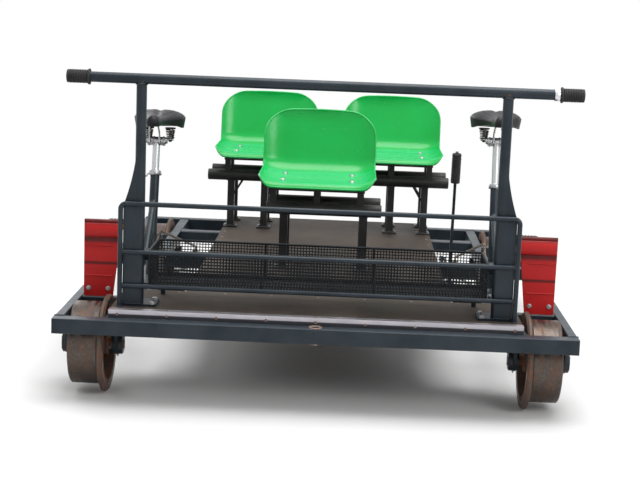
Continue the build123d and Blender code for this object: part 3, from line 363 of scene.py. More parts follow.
def worn_steel(name, colour, rust_share, gloss=0.42):
    """Bare machined steel with brown rust in patches that leave the rubbed edges free."""
    look = Look(name)
    fine = look.noise(240.0, 5.0, 0.7)
    mottle = look.noise(38.0, 8.0, 0.72)
    share = look.ramp(mottle, 0.62 - 0.35 * rust_share, 0.80 - 0.35 * rust_share)
    rusted = look.times(share, look.minus(1.0, look.edge(0.002)))
    steel = look.mix(fine, colour, shaded(colour, 0.72))
    tone = look.mix(rusted, steel, look.mix(fine, RUST_DARK, RUST_BRIGHT))
    rough = look.ramp(rusted, 0.0, 1.0, gloss, 0.88)
    return look.finish(tone, rough, look.bump(fine, 0.0004, 0.5), look.ramp(rusted, 0.0, 1.0, 1.0, 0.1))


def deck_board(name):
    """Film-faced plywood: a dark faintly meshed film with grit, and plies that show at the cut edges."""
    look = Look(name)
    up = look.ramp(look.math("ABSOLUTE", look.facing_up()), 0.4, 0.8)
    mesh = look.most(look.wave("X", 78.0), look.wave("Y", 78.0))
    worn = look.noise(4.5, 7.0, 0.62, look.place((1.0, 0.55, 1.0)))
    grit = look.ramp(look.noise(420.0, 3.0, 0.8), 0.60, 0.72)
    film = look.mix(look.ramp(worn, 0.35, 0.68, 0.0, 0.75), BOARD_BROWN, BOARD_WORN)
    film = look.mix(look.times(grit, 0.5), film, GRIT)
    scratch = look.noise(55.0, 5.0, vector=look.place((0.15, 2.4, 1.0), (3, 1, 0)))
    film = look.mix(look.ramp(scratch, 0.66, 0.72, 0.0, 0.4), film, BOARD_SCRATCH)
    plies = 5.0 / (deck_top_z - deck_low.z) / pi
    ply = look.mix(look.wave("Z", plies, 0.6), PLY_DARK, PLY_PALE)
    stained = look.mix(look.ramp(look.noise(12.0, 6.0), 0.3, 0.7, 0.55, 0.95), ply, BOARD_BROWN)
    normal = look.bump(grit, 0.0005, 0.6, look.bump(mesh, 0.0005, 0.5))
    rough = look.ramp(worn, 0.3, 0.7, 0.48, 0.74)
    return look.finish(look.mix(up, stained, film), rough, normal, Specular_IOR_Level=0.16)


def scuffed_metal(name, colour, grain, gloss=0.34, shade_below=None):
    """Soft metal with long scratches along its grain and dull patches, and painted shade that darkens it
    below a height.
    """
    look = Look(name)
    brushed = look.noise(340.0, 4.0, 0.6, look.place(grain))
    stained = look.ramp(look.noise(60.0, 6.0, 0.75), 0.62, 0.75, 0.0, 0.45)
    tone = look.mix(brushed, colour, shaded(colour, 0.74))
    tone = look.mix(stained, tone, METAL_STAIN)
    if shade_below is not None:
        # Painted shade: below the height the metal turns dark
        dirt_and_shade = look.ramp(look.axis("Z"), shade_below - 0.004, shade_below, 1.0, 0.0)
        tone = look.mix(dirt_and_shade, tone, EDGE_PAINTED_SHADE)
    rough = look.ramp(look.noise(16.0, 6.0, 0.65), 0.3, 0.7, gloss, gloss + 0.2)
    return look.finish(tone, rough, look.bump(brushed, 0.0003, 0.5), 1.0)


def rubber(name):
    """Matt rubber with a bloom of dust in patches."""
    look = Look(name)
    bloom = look.ramp(look.noise(24.0, 7.0, 0.65), 0.35, 0.75, 0.0, 0.35)
    tone = look.mix(bloom, BLACK_PLASTIC, RUBBER_BLOOM)
    normal = look.bump(look.noise(520.0, 4.0, 0.7), 0.0005, 0.6)
    return look.finish(tone, look.ramp(bloom, 0.0, 0.35, 0.62, 0.86), normal, Specular_IOR_Level=0.4)


def moulded(name, colour, gloss, grain_scale, grain_depth, wear, shine=0.5):
    """Moulded plastic: fine tool grain, scuffs that lighten it, and dirt in patches."""
    look = Look(name)
    scuff = look.noise(90.0, 5.0, 0.65, look.place((0.2, 1.6, 1.0), (2, 0, 5)))
    dirt_and_shade = look.noise(11.0, 8.0, 0.68)
    pale = shaded(colour, 1.25, 0.08)
    tone = look.mix(look.ramp(scuff, 0.60, 0.74, 0.0, wear), colour, pale)
    tone = look.mix(look.ramp(dirt_and_shade, 0.5, 0.85, 0.0, wear), tone, shaded(colour, 0.55, 0.012))
    tone = look.mix(look.times(look.edge(0.003), wear), tone, pale)
    rough = look.ramp(scuff, 0.35, 0.75, gloss, gloss + 0.22)
    normal = look.bump(look.cells(grain_scale), grain_depth, 0.5)
    return look.finish(tone, rough, normal, Specular_IOR_Level=shine)


def seat_plastic(name):
    """Glossy green polypropylene, slightly mottled and rubbed in patches, with fine scratches, and a
    painted pale reflection on its level faces, where riders sit.
    """
    look = Look(name)
    cloud = look.noise(5.0, 5.0, 0.6)
    rubbed = look.noise(14.0, 7.0, 0.66)
    scratch = look.noise(120.0, 6.0, 0.6, look.place((0.12, 2.2, 1.1), (1, 4, 2)))
    cross = look.noise(140.0, 6.0, 0.6, look.place((2.0, 0.14, 0.6), (5, 2, 7)))
    lines = look.most(look.ramp(scratch, 0.71, 0.80), look.ramp(cross, 0.72, 0.80))
    tone = look.mix(look.ramp(cloud, 0.25, 0.75, 0.0, 0.45), SEAT_GREEN, SEAT_GREEN_PALE)
    tone = look.mix(look.ramp(rubbed, 0.55, 0.8, 0.0, 0.30), tone, SEAT_RUBBED)
    tone = look.mix(look.times(lines, 0.14), tone, SEAT_SCRATCH)
    tone = look.mix(look.times(look.edge(0.006, 0.01, 0.2), 0.35), tone, SEAT_EDGE)
    # Painted reflection: faces that look up turn pale mint, as glossy plastic catching the sky
    tone = look.mix(look.ramp(look.facing_up(), 0.80, 0.99, 0.0, 0.34), tone, SEAT_PAINTED_REFLECTION)
    grain = look.bump(look.noise(700.0, 3.0), 0.0001, 0.2)
    normal = look.bump(look.noise(9.0, 2.0), 0.0012, 0.3, grain)
    rough = look.plus(look.ramp(rubbed, 0.3, 0.8, 0.20, 0.30), look.times(lines, 0.1))
    return look.finish(
        tone, rough, normal,
        Subsurface_Weight=0.08, Subsurface_Radius=(0.004, 0.010, 0.004),
        Coat_Weight=0.08, Coat_Roughness=0.14, Specular_IOR_Level=0.32,
    )


def vinyl(name):
    """Black saddle vinyl: fine leather grain, a soft shine, paler where it is rubbed."""
    look = Look(name)
    crease = look.noise(55.0, 6.0, 0.6)
    rubbed = look.ramp(look.noise(13.0, 6.0), 0.4, 0.75, 0.0, 0.5)
    dusty = look.times(look.ramp(look.facing_up(), 0.5, 1.0), 0.05)
    tone = look.mix(dusty, look.mix(rubbed, VINYL_BLACK, VINYL_RUBBED), VINYL_DUST)
    height = look.plus(look.times(look.cells(620.0), 0.8), look.times(crease, 0.4))
    return look.finish(
        tone, look.ramp(crease, 0.3, 0.7, 0.34, 0.50), look.bump(height, 0.0006, 0.5),
        Coat_Weight=0.02, Coat_Roughness=0.28, Specular_IOR_Level=0.22,
    )


def oily_chain(name):
    """Chain steel under dark oil, bright on the rubbed plate edges."""
    look = Look(name)
    film = look.noise(90.0, 7.0, 0.7)
    rubbed = look.times(look.edge(0.0007, 0.02, 0.2), 0.6)
    tone = look.mix(rubbed, look.mix(film, OIL_DARK, OIL_THIN), CHAIN_RUBBED)
    normal = look.bump(look.noise(600.0, 3.0), 0.0002, 0.5)
    return look.finish(tone, look.ramp(film, 0.2, 0.8, 0.26, 0.5), normal, 0.9)


def cast_iron(name):
    """Rusty cast iron with a coarse skin."""
    look = Look(name)
    skin = look.noise(130.0, 8.0, 0.75)
    tone = look.mix(look.ramp(look.noise(22.0, 6.0), 0.35, 0.65), RUST_DARK, RUST_BRIGHT)
    tone = look.mix(look.ramp(skin, 0.45, 0.7, 0.0, 0.7), tone, IRON_GREY)
    return look.finish(tone, 0.86, look.bump(skin, 0.0014, 0.7), 0.2)


# Materials in use
# Painted shade on the guards: dark bands along the rolled top, under the rolled band and along the lower
# rib
GUARD_SHADE_BANDS = ((guard_high.z, 0.026), (guard_high.z - 0.068, 0.018), (guard_high.z - 0.150, 0.009))

paint = painted("frame_paint", TEAL_BLACK, TEAL_DUST, 0.26, 0.55, 0.30)
black_paint = painted("stand_paint", STAND_BLACK, STAND_DUST, 0.30, 0.4, 0.35)
crank_paint = painted("crank_paint", CRANK_BLACK, METAL_DUST, 0.32, 0.7, 0.12)
spring_paint = painted("spring_paint", SPRING_BLACK, METAL_DUST, 0.28, 0.8, 0.25)
red_paint = painted("guard_paint", GUARD_RED, GUARD_RED_DARK, 0.32, 0.45, 0.55, GUARD_SHADE_BANDS)
axle_steel = worn_steel("axle_steel", STEEL_BARE, 0.75)
sprocket_steel = worn_steel("sprocket_steel", STEEL_DARK, 0.55)
zinc = worn_steel("bolt_zinc", ZINC, 0.25, 0.36)
board = deck_board("deck_board")
# The deck edge's strip is dark below its top 9 mm: painted shade over its lower part, down to the beam
edge_metal = scuffed_metal("edge_metal", EDGE_ALLOY, (0.08, 1.5, 1.5), shade_below=deck_top_z - 0.009)
post_alloy = scuffed_metal("post_alloy", ALLOY, (1.2, 1.2, 0.15), 0.28)
ring_plate = scuffed_metal("bar_ring_metal", RING_PALE, (3.0, 0.3, 0.3), 0.25)
grip_rubber = rubber("grip_rubber")
basket_coat = moulded("basket_coat", BASKET_BLACK, 0.50, 900.0, 0.0002, 0.12, shine=0.22)
pedal_plastic = moulded("pedal_plastic", BLACK_PLASTIC, 0.46, 700.0, 0.0003, 0.35)
cap_plastic = moulded("cap_plastic", CAP_BLACK, 0.45, 800.0, 0.0002, 0.3)
amber = moulded("reflector_amber", AMBER, 0.18, 300.0, 0.0006, 0.2)
green = seat_plastic("seat_green")
saddle_skin = vinyl("saddle_vinyl")
chain_metal = oily_chain("chain_metal")
iron = cast_iron("shoe_iron")

DRESSED = (
    (paint, (
        "frame_front_beam", "frame_rear_beam", "frame_side_tubes", "frame_inner_tubes", "frame_cross_tubes",
        "frame_bay_tubes", "hangers_front", "hangers_rear", "post_left", "post_right", "handlebar",
        "luggage_hoop", "basket_rest", "pedal_station_left", "pedal_station_right", "brake_shaft",
        "brake_rod", "brake_lever",
    )),
    (black_paint, ("seat_cross_tubes", "seat_legs", "seat_bearers")),
    (basket_coat, ("basket_floor", "basket_walls")),
    (board, ("deck_front", "deck_centre")),
    (edge_metal, ("deck_edge",)),
    (grip_rubber, ("grips",)),
    (red_paint, ("guards",)),
    (iron, ("brake_shoes",)),
    (green, SEAT_ROWS),
)
SIDE_DRESSED = (
    ("crankset", crank_paint), ("sprocket", sprocket_steel), ("chain", chain_metal),
    ("seat_post", post_alloy), ("saddle", saddle_skin),
)


def dress(node, material):
    """Give a carried-over node its material."""
    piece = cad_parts[node]
    piece.data.materials.clear()
    piece.data.materials.append(material)


for material, nodes in DRESSED:
    for node in nodes:
        dress(node, material)
for name, side in CORNERS:
    dress(f"wheel_{name}", wheel_steel(f"wheel_steel_{name}", axle_places[name]))
    dress(f"axle_{name}", axle_steel)
for name, side in SIDES:
    for kind, material in SIDE_DRESSED:
        dress(f"{kind}_{name}", material)
    for arm in ARMS:
        dress(f"pedal_{name}_{arm}", pedal_plastic)


# Mesh helpers
def new_object(name, mesh):
    made = bpy.data.objects.new(name, mesh)
    bpy.context.scene.collection.objects.link(made)
    return made


def bridge(bm, rings, closed=False):
    """Faces between rings of equal count, with end caps unless the last ring meets the first."""
    made = [[bm.verts.new(point) for point in ring] for ring in rings]
    pairs = list(zip(made, made[1:]))
    if closed:
        pairs.append((made[-1], made[0]))
    for here, there in pairs:
        for step, vert in enumerate(here):
            after = (step + 1) % len(here)
            bm.faces.new((vert, here[after], there[after], there[step]))
    if not closed:
        bm.faces.new(tuple(reversed(made[0])))
        bm.faces.new(tuple(made[-1]))


def turning_frame(direction):
    """Two unit vectors square to a direction."""
    direction = Vector(direction).normalized()
    helper = Vector((0, 0, 1)) if abs(direction.z) < 0.9 else Vector((1, 0, 0))
    across = direction.cross(helper).normalized()
    return across, across.cross(direction).normalized()


def ring_points(centre, across, up, radius, count, flatten=1.0):
    """Points of a circle in the plane of two unit vectors, or of an ellipse flattened along the second."""
    turns = [2 * pi * step / count for step in range(count)]
    return [centre + (across * cos(turn) + up * (flatten * sin(turn))) * radius for turn in turns]


def circle_points(centre, direction, radius, count=24):
    return ring_points(Vector(centre), *turning_frame(direction), radius, count)


def around(count, radius, start=0.0):
    """Flat places spaced evenly round a circle."""
    angles = [start + 2 * pi * k / count for k in range(count)]
    return [(radius * cos(angle), radius * sin(angle)) for angle in angles]


def notched(count, low, high, run=1):
    """Outline of a disc whose rim changes between two radii after each run of points."""
    rims = zip(around(count, low), around(count, high))
    return [rim[(k // run) % 2] for k, rim in enumerate(rims)]


def add_lathe(bm, origin, direction, profile, sides=24):
    """Turn a profile of (distance along, radius) about an axis."""
    origin, direction = Vector(origin), Vector(direction).normalized()
    bridge(bm, [
        circle_points(origin + direction * along, direction, radius, sides) for along, radius in profile
    ])


def add_tube(bm, path, radius, sides=10, closed=False, flatten=1.0):
    """Round tube along a path of points, its section kept from twisting."""
    points = [Vector(point) for point in path]
    rings = []
    across = None
    for point, tangent in tangents(points, closed):
        if across is None:
            across, up = turning_frame(tangent)
        across = (across - tangent * across.dot(tangent)).normalized()
        up = across.cross(tangent).normalized()
        rings.append(ring_points(point, across, up, radius, sides, flatten))
    bridge(bm, rings, closed=closed)


def tangents(points, closed):
    """Each point of a line with the direction of the line there."""
    count = len(points)
    for index, point in enumerate(points):
        before = points[index - 1] if index or closed else point
        after = points[(index + 1) % count] if index < count - 1 or closed else point
        yield point, (after - before).normalized()


def add_block(bm, low, high, edge):
    """Box between two corners, its edges rounded off by a chamfer."""
    made = bmesh.ops.create_cube(bm, size=1.0)["verts"]
    low, high = Vector(low), Vector(high)
    for vert in made:
        vert.co = Vector((low[i] + (vert.co[i] + 0.5) * (high[i] - low[i]) for i in range(3)))
    edges = list({e for vert in made for e in vert.link_edges})
    bmesh.ops.bevel(bm, geom=edges, offset=edge, segments=2, profile=0.7, affect="EDGES")


def add_prism(bm, outline, origin, u, v, depth):
    """Flat outline in the plane of u and v, made as thick as depth along their normal."""
    origin, u, v = Vector(origin), Vector(u), Vector(v)
    normal = u.cross(v).normalized()
    ends = (-depth / 2, depth / 2)
    bridge(bm, [[origin + u * a + v * b + normal * shift for a, b in outline] for shift in ends])


def add_bolt(bm, place, direction, size, washer=True):
    """Hexagon head with a chamfered top on a round washer; size is the thread's diameter."""
    start = 0.0
    if washer:
        start = 0.18 * size
        add_lathe(bm, place, direction, ((0, 1.05 * size), (start, 1.05 * size), (start, 0.6 * size)), 16)
    head = 0.95 * size
    profile = ((start, head), (start + 0.5 * size, head), (start + 0.62 * size, 0.8 * head))
    add_lathe(bm, place, direction, profile, 6)


WELD_STEP = 0.004


def add_weld(bm, corners, radius, closed=True):
    """Weld bead: a thin tube along a joint, swelling at each ripple."""
    corners = [Vector(corner) for corner in corners]
    pairs = list(zip(corners, corners[1:]))
    if closed:
        pairs.append((corners[-1], corners[0]))
    path = []
    for start, end in pairs:
        steps = max(2, int((end - start).length / WELD_STEP))
        path += [start.lerp(end, step / steps) for step in range(steps)]
    if not closed:
        path.append(corners[-1])
    rings = []
    for index, (point, tangent) in enumerate(tangents(path, closed)):
        size = radius * (1.0 + 0.22 * (-1) ** index + 0.15 * noise.noise(point * 90.0))
        rings.append(circle_points(point, tangent, size, 6))
    bridge(bm, rings, closed=closed)


def box_corners(x, y, z, half_x, half_y):
    """Corners of a level rectangle, for a weld round a tube's foot."""
    return [(x - half_x, y - half_y, z), (x + half_x, y - half_y, z), (x + half_x, y + half_y, z),
            (x - half_x, y + half_y, z)]


def finished(bm, name, material, body, smooth_angle=40.0):
    """Turn a bmesh into a piece: normals, shading by angle, material and body."""
    bmesh.ops.recalc_face_normals(bm, faces=bm.faces)
    mesh = bpy.data.meshes.new(name)
    bm.to_mesh(mesh)
    bm.free()
    for polygon in mesh.polygons:
        polygon.use_smooth = True
    mesh.set_sharp_from_angle(angle=radians(smooth_angle))
    mesh.materials.append(material)
    piece = new_object(name, mesh)
    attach(piece, body)
    return piece


# Paths
def share(value):
    """A value held between 0 and 1."""
    return min(1.0, max(0.0, value))


def rounded_path(corners, radii, steps=8):
    """Points of straight runs joined by arcs, one radius for each inner corner."""
    corners = [Vector(corner) for corner in corners]
    points = [corners[0]]
    for before, corner, after, radius in zip(corners, corners[1:], corners[2:], radii):
        to_before = (before - corner).normalized()
        to_after = (after - corner).normalized()
        half = to_before.angle(to_after) / 2
        reach = radius / tan(half)
        centre = corner + (to_before + to_after).normalized() * radius / sin(half)
        first = corner + to_before * reach - centre
        last = corner + to_after * reach - centre
        turn = pi - 2 * half
        for step in range(steps + 1):
            swing = first * sin((1 - step / steps) * turn) + last * sin(step / steps * turn)
            points.append(centre + swing / sin(turn))
    points.append(corners[-1])
    return points


def walk(points, distance):
    """Place and direction at a distance along an open line."""
    for start, end in zip(points, points[1:]):
        step = end - start
        if step.length < 1e-9:
            continue
        if distance <= step.length or end is points[-1]:
            return start + step * (distance / step.length), step.normalized()
        distance -= step.length
    return points[-1], (points[-1] - points[-2]).normalized()


def path_length(points):
    return sum((after - before).length for before, after in zip(points, points[1:]))


def smooth_line(points, steps):
    """Catmull-Rom line through the points."""
    points = [Vector(point) for point in points]
    points = [points[0], *points, points[-1]]
    made = []
    for p0, p1, p2, p3 in zip(points, points[1:], points[2:], points[3:]):
        for step in range(steps):
            t = step / steps
            made.append(0.5 * (
                2 * p1 + (p2 - p0) * t + (2 * p0 - 5 * p1 + 4 * p2 - p3) * t * t
                + (3 * p1 - p0 - 3 * p2 + p3) * t**3
            ))
    made.append(points[-1])
    return made


# Seat shells: a dished sheet along the side outline, with a rolled rim and four bolts
SHELL_SHEET = 0.0045
SHELL_SIDE = 0.024
SHELL_FLAT = 0.118
SHELL_RIM = 0.0042
SHELL_TOP_CORNER = 0.105
SHELL_LIP_CORNER = 0.045
SHELL_ARCH = 0.009
SHELL_TOP_ROLL = 0.010
SHELL_TOP_ROLL_REACH = 0.05
SHELL_COLUMNS = 44
SHELL_SPREAD = 0.82 * pi / 2
SHELL_RIM_STEP = 0.0035
SHELL_LIP_ROWS = 8
SHELL_MIDDLE_ROWS = 46
SHELL_TOP_ROWS = 14
SHELL_BOLT_X = 0.130
SHELL_BOLT = (
    (0, 0.0125), (0.0012, 0.0125), (0.0012, 0.0092),
    (0.0035, 0.0078), (0.0050, 0.0042), (0.0052, 0.0008),
)


def shell_rise(x, half):
    """How far the shell's side rises over its flat middle."""
    return SHELL_SIDE * max(0.0, (abs(x) - SHELL_FLAT) / (half - SHELL_FLAT)) ** 2.3


def shell_spine(seat_y):
    """The shell from the side: lip, pan and back."""
    under_z = SHELL_PAN_Z - 0.005
    corners = (
        (0, seat_y, under_z - 0.018), (0, seat_y + 0.005, under_z),
        (0, seat_y + 0.345, under_z), (0, seat_y + 0.390, SHELL_PAN_Z + 0.245),
    )
    return rounded_path(corners, (0.020, 0.075), steps=14)


def shell_rows(total):
    """Distances along the spine, closer together where the outline turns."""
    start, end = SHELL_RIM + SHELL_LIP_CORNER, total - SHELL_TOP_CORNER
    turns = [pi / 2 * k / SHELL_LIP_ROWS for k in range(SHELL_LIP_ROWS)]
    rows = [SHELL_RIM + SHELL_LIP_CORNER * (1 - cos(turn)) for turn in turns]
    rows += [start + (end - start) * k / SHELL_MIDDLE_ROWS for k in range(SHELL_MIDDLE_ROWS)]
    turns = [pi / 2 * k / SHELL_TOP_ROWS for k in range(SHELL_TOP_ROWS + 1)]
    return rows + [total - SHELL_TOP_CORNER * (1 - sin(turn)) for turn in turns]


def corner_cut(reach, radius):
    """How much a rounded corner takes off each side at a distance from the end."""
    if reach >= radius:
        return 0.0
    return radius - sqrt(radius**2 - (radius - reach) ** 2)


def shell_grids(seat_y, middle_x, half):
    """Rows of points of the shell's top and of its underside."""
    spine = shell_spine(seat_y)
    total = path_length(spine) - SHELL_RIM
    top, under = [], []
    for along in shell_rows(total):
        from_top = total - along
        width = half - corner_cut(along - SHELL_RIM, SHELL_LIP_CORNER)
        width -= corner_cut(from_top, SHELL_TOP_CORNER)
        roll = SHELL_TOP_ROLL * max(0.0, 1 - from_top / SHELL_TOP_ROLL_REACH) ** 2
        row_top, row_under = [], []
        for column in range(SHELL_COLUMNS + 1):
            x = width * sin((2 * column / SHELL_COLUMNS - 1) * SHELL_SPREAD) / sin(SHELL_SPREAD)
            arch = SHELL_ARCH * (x / half) ** 2 * (along / total) ** 8
            place, tangent = walk(spine, along - arch)
            normal = Vector((0, -tangent.z, tangent.y))
            rise = max(shell_rise(x, half), roll * (1 - 0.3 * abs(x) / width))
            base = Vector((middle_x + x, place.y, place.z)) + normal * rise
            row_under.append(base)
            row_top.append(base + normal * SHELL_SHEET)
        top.append(row_top)
        under.append(row_under)
    return top, under


def border(grid):
    """What lies round the edge of a grid, in order."""
    return grid[0] + [row[-1] for row in grid[1:]] + grid[-1][-2::-1] + [row[0] for row in grid[-2:0:-1]]


def add_sheet(bm, top, under):
    """Both faces of a sheet and the strip that joins them round the edge."""
    sheets = [[[bm.verts.new(point) for point in row] for row in grid] for grid in (top, under)]
    for sheet in sheets:
        for row, after in zip(sheet, sheet[1:]):
            for corners in zip(row, row[1:], after[1:], after):
                bm.faces.new(corners)
    upper, lower = (border(sheet) for sheet in sheets)
    for index, vert in enumerate(upper):
        after = (index + 1) % len(upper)
        bm.faces.new((vert, lower[index], lower[after], upper[after]))


def build_shell(node):
    low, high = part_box(node)
    middle_x = (low.x + high.x) / 2
    half = (high.x - low.x) / 2 - SHELL_RIM
    seat_y = SEAT_ROWS[node]
    top, under = shell_grids(seat_y, middle_x, half)
    bm = bmesh.new()
    add_sheet(bm, top, under)
    loop = [(above + below) / 2 for above, below in zip(border(top), border(under))]
    kept = [loop[0]]
    for point in loop[1:]:
        if (point - kept[-1]).length > SHELL_RIM_STEP:
            kept.append(point)
    add_tube(bm, kept, SHELL_RIM, sides=8, closed=True)
    piece = finished(bm, f"{node}_moulding", green, "frame", 50)
    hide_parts(node)
    bolts = bmesh.new()
    bolt_z = SHELL_PAN_Z - 0.0006 + shell_rise(SHELL_BOLT_X, half)
    for row in STAND_ROWS:
        for sign in BOTH:
            place = (middle_x + sign * SHELL_BOLT_X, seat_y + row, bolt_z)
            add_lathe(bolts, place, (0, 0, 1), SHELL_BOLT, 18)
    finished(bolts, f"{node}_bolts", zinc, "frame")


# Saddles: crowned pads on coil springs. Places on a saddle are x, y from its nose and depth under its top.
SADDLE_HALF = (
    (0.0, 0.0), (0.012, 0.003), (0.021, 0.011), (0.0255, 0.028), (0.028, 0.055), (0.034, 0.086),
    (0.046, 0.116), (0.063, 0.143), (0.080, 0.167), (0.091, 0.190), (0.0955, 0.211), (0.093, 0.233),
    (0.081, 0.251), (0.061, 0.2605), (0.040, 0.260), (0.020, 0.253), (0.0, 0.248),
)
SADDLE_SPINE = (0.024, 0.214)
SADDLE_LAYERS = 15
GROOVE_BASE = 2.718
SPRING_SPREAD = 0.041
SPRING_LEAD = 0.055
SPRING_TURNS = 4.75
SPRING_POINTS = 110
SADDLE_DROP = 0.045
SPRING_RADIUS = 0.0128
SPRING_WIDENING = 0.0042
SPRING_WIRE = 0.0021
PIPING = 0.0016
SEAM = 0.0011
SEAM_START = 0.030
SEAM_LENGTH = 0.205
SEAM_STEPS = 33
CLAMP_LEAD = 0.076
CLAMP_BOLT_X = 0.0332
CLAMP_PLATE_XS = (0.0262, 0.0098)
CLAMP_PLATE = 0.0045
SADDLE_WIRE = 0.0036
SADDLE_WIRE_X = 0.018


def saddle_outline():
    """The saddle from above."""
    half = [(point.x, point.y) for point in smooth_line([(x, y, 0) for x, y in SADDLE_HALF], 4)]
    return half + [(-x, y) for x, y in reversed(half[1:-1])]


def saddle_top(y, x):
    """Depth of the top under its highest point: the dip, nose and tail, and the groove along the middle."""
    dip = 0.0135 * sin(pi * share((y - 0.01) / 0.20)) ** 1.3
    nose = 0.010 * max(0.0, 1 - y / 0.05) ** 1.5
    tail = 0.012 * max(0.0, (y - 0.225) / 0.035) ** 2
    groove = 0.0045 * GROOVE_BASE ** (-((x / 0.010) ** 2)) * share((y - 0.05) / 0.05)
    groove *= share((0.255 - y) / 0.03)
    return dip + nose + tail + groove


def saddle_edge(y):
    """Depth of the widest line."""
    return 0.0265 + 0.004 * sin(pi * min(1.0, y / 0.26)) + 0.004 * max(0.0, 1 - y / 0.05)


def saddle_hem(y):
    """Depth of the lower edge."""
    return 0.046 + 0.0195 * share((y - 0.10) / 0.10) ** 1.5


def saddle_crown(x, y, edge, inward):
    """Depth of the top at a share of the way in from an edge of some depth."""
    return edge + (saddle_top(y, x) - edge) * (1 - (1 - inward) ** 2.6) ** 0.62


def drawn_in(x, y, shrink):
    """A place on the outline drawn in toward the saddle's spine."""
    spine_y = min(max(y, SADDLE_SPINE[0]), SADDLE_SPINE[1])
    return x * shrink, spine_y + (y - spine_y) * shrink


def saddle_rings(outline):
    """The pad's rings from its floor over the hem and the edge to the top."""
    rings = [[(x * 0.55, min(max(y, 0.03), 0.225), saddle_hem(y) - 0.010) for x, y in outline]]
    for shrink in (0.873, 0.945):
        rings.append([(*drawn_in(x, y, shrink), saddle_hem(y)) for x, y in outline])
    rings.append([(x, y, saddle_edge(y) + 0.006) for x, y in outline])
    for layer in range(SADDLE_LAYERS + 1):
        inward = (layer / SADDLE_LAYERS) ** 1.15 * 0.985
        ring = []
        for x, y in outline:
            inner_x, inner_y = drawn_in(x, y, 1 - inward)
            ring.append((inner_x, inner_y, saddle_crown(inner_x, inner_y, saddle_edge(y), inward)))
        rings.append(ring)
    return rings


def saddle_seam(outline, sign):
    """A seam from the nose out over one side of the seat."""
    seam = []
    for step in range(SEAM_STEPS + 1):
        y = SEAM_START + SEAM_LENGTH * step / SEAM_STEPS
        reach = 0.009 + 0.040 * share((y - 0.07) / 0.13) ** 1.4
        wide = max(abs(px) for px, py in outline if abs(py - y) < 0.012)
        depth = saddle_crown(sign * reach, y, saddle_edge(y), 1 - reach / wide)
        seam.append((sign * reach, y, depth + 0.0002))
    return seam


def add_spring(bm, x, y, low_z, high_z):
    """A coil that widens upward between a cup below and one above, with a nut under it."""
    path = []
    for step in range(SPRING_POINTS + 1):
        part = step / SPRING_POINTS
        radius = SPRING_RADIUS + SPRING_WIDENING * part
        angle = 2 * pi * SPRING_TURNS * part
        height = low_z + 0.0085 + (SADDLE_DROP - 0.0165) * part
        path.append((x + radius * cos(angle), y + radius * sin(angle), height))
    add_tube(bm, path, SPRING_WIRE, sides=7)
    for z, thick, radius in ((low_z + 0.0035, 0.0035, 0.0165), (high_z - 0.0065, 0.0055, 0.0205)):
        cup = ((0, radius * 0.8), (thick * 0.35, radius), (thick, radius), (thick, 0.0062), (0, 0.0062))
        add_lathe(bm, (x, y, z), (0, 0, 1), cup, 22)
    add_bolt(bm, (x, y, low_z - 0.0040), (0, 0, -1), 0.007)


def build_saddle(name):
    node = f"saddle_{name}"
    low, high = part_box(node)
    centre_x = (low.x + high.x) / 2
    outline = saddle_outline()

    def placed(points):
        return [Vector((centre_x + x, low.y + y, high.z - depth)) for x, y, depth in points]

    bm = bmesh.new()
    bridge(bm, [placed(ring) for ring in saddle_rings(outline)])
    pad = finished(bm, f"{node}_pad", saddle_skin, "frame", 70)
    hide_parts(node)

    trim = bmesh.new()
    piping = placed([(x * 0.995, y, saddle_edge(y) + 0.0012) for x, y in outline])
    add_tube(trim, piping, PIPING, sides=6, closed=True)
    for sign in BOTH:
        add_tube(trim, placed(saddle_seam(outline, sign)), SEAM, sides=6)
    finished(trim, f"{node}_seams", saddle_skin, "frame", 60)

    clamp_z = low.z - SADDLE_DROP
    lobe_y = high.y - SPRING_LEAD
    springs = bmesh.new()
    for sign in BOTH:
        add_spring(springs, centre_x + sign * SPRING_SPREAD, lobe_y, clamp_z, low.z)
    finished(springs, f"{node}_springs", spring_paint, "frame", 50)
    build_saddle_clamp(node, Vector((centre_x, lobe_y - CLAMP_LEAD, clamp_z)), low.z)


def build_saddle_clamp(node, place, base_z):
    """The ends of the wires under the nose, and the toothed clamp on the seat post."""
    wires, clamp = bmesh.new(), bmesh.new()
    toothed = notched(36, 0.0170, 0.0182)
    for sign in BOTH:
        x = place.x + sign * SADDLE_WIRE_X
        corners = (
            (x, place.y - 0.0655, base_z - 0.0090), (x - sign * 0.004, place.y - 0.0850, base_z + 0.0290),
            (x - sign * 0.009, place.y - 0.1010, base_z + 0.0290),
        )
        add_tube(wires, rounded_path(corners, (0.007,), 6), SADDLE_WIRE, sides=12)
        add_bolt(clamp, place + Vector((sign * CLAMP_BOLT_X, 0, 0)), (sign, 0, 0), 0.010)
        for reach in CLAMP_PLATE_XS:
            spot = place + Vector((sign * reach, 0, 0))
            add_prism(clamp, toothed, spot, (0, 1, 0), (0, 0, 1), CLAMP_PLATE)
    finished(wires, f"{node}_wire_ends", post_alloy, "frame", 50)
    finished(clamp, f"{node}_clamp", zinc, "frame")


# Seat tube collar with its quick release
SEAT_LEAN = radians(13.3)
SEAT_TUBE_FOOT = (CRANK_Y + 0.130, 0.293)
SEAT_TUBE_TOP = 0.665
COLLAR = ((0, 0.0172), (0, 0.0205), (0.0015, 0.0215), (0.015, 0.0215), (0.0175, 0.0200), (0.0175, 0.0140))
COLLAR_BARREL = ((0, 0.0052), (0.003, 0.0065), (0.039, 0.0065), (0.042, 0.0045))


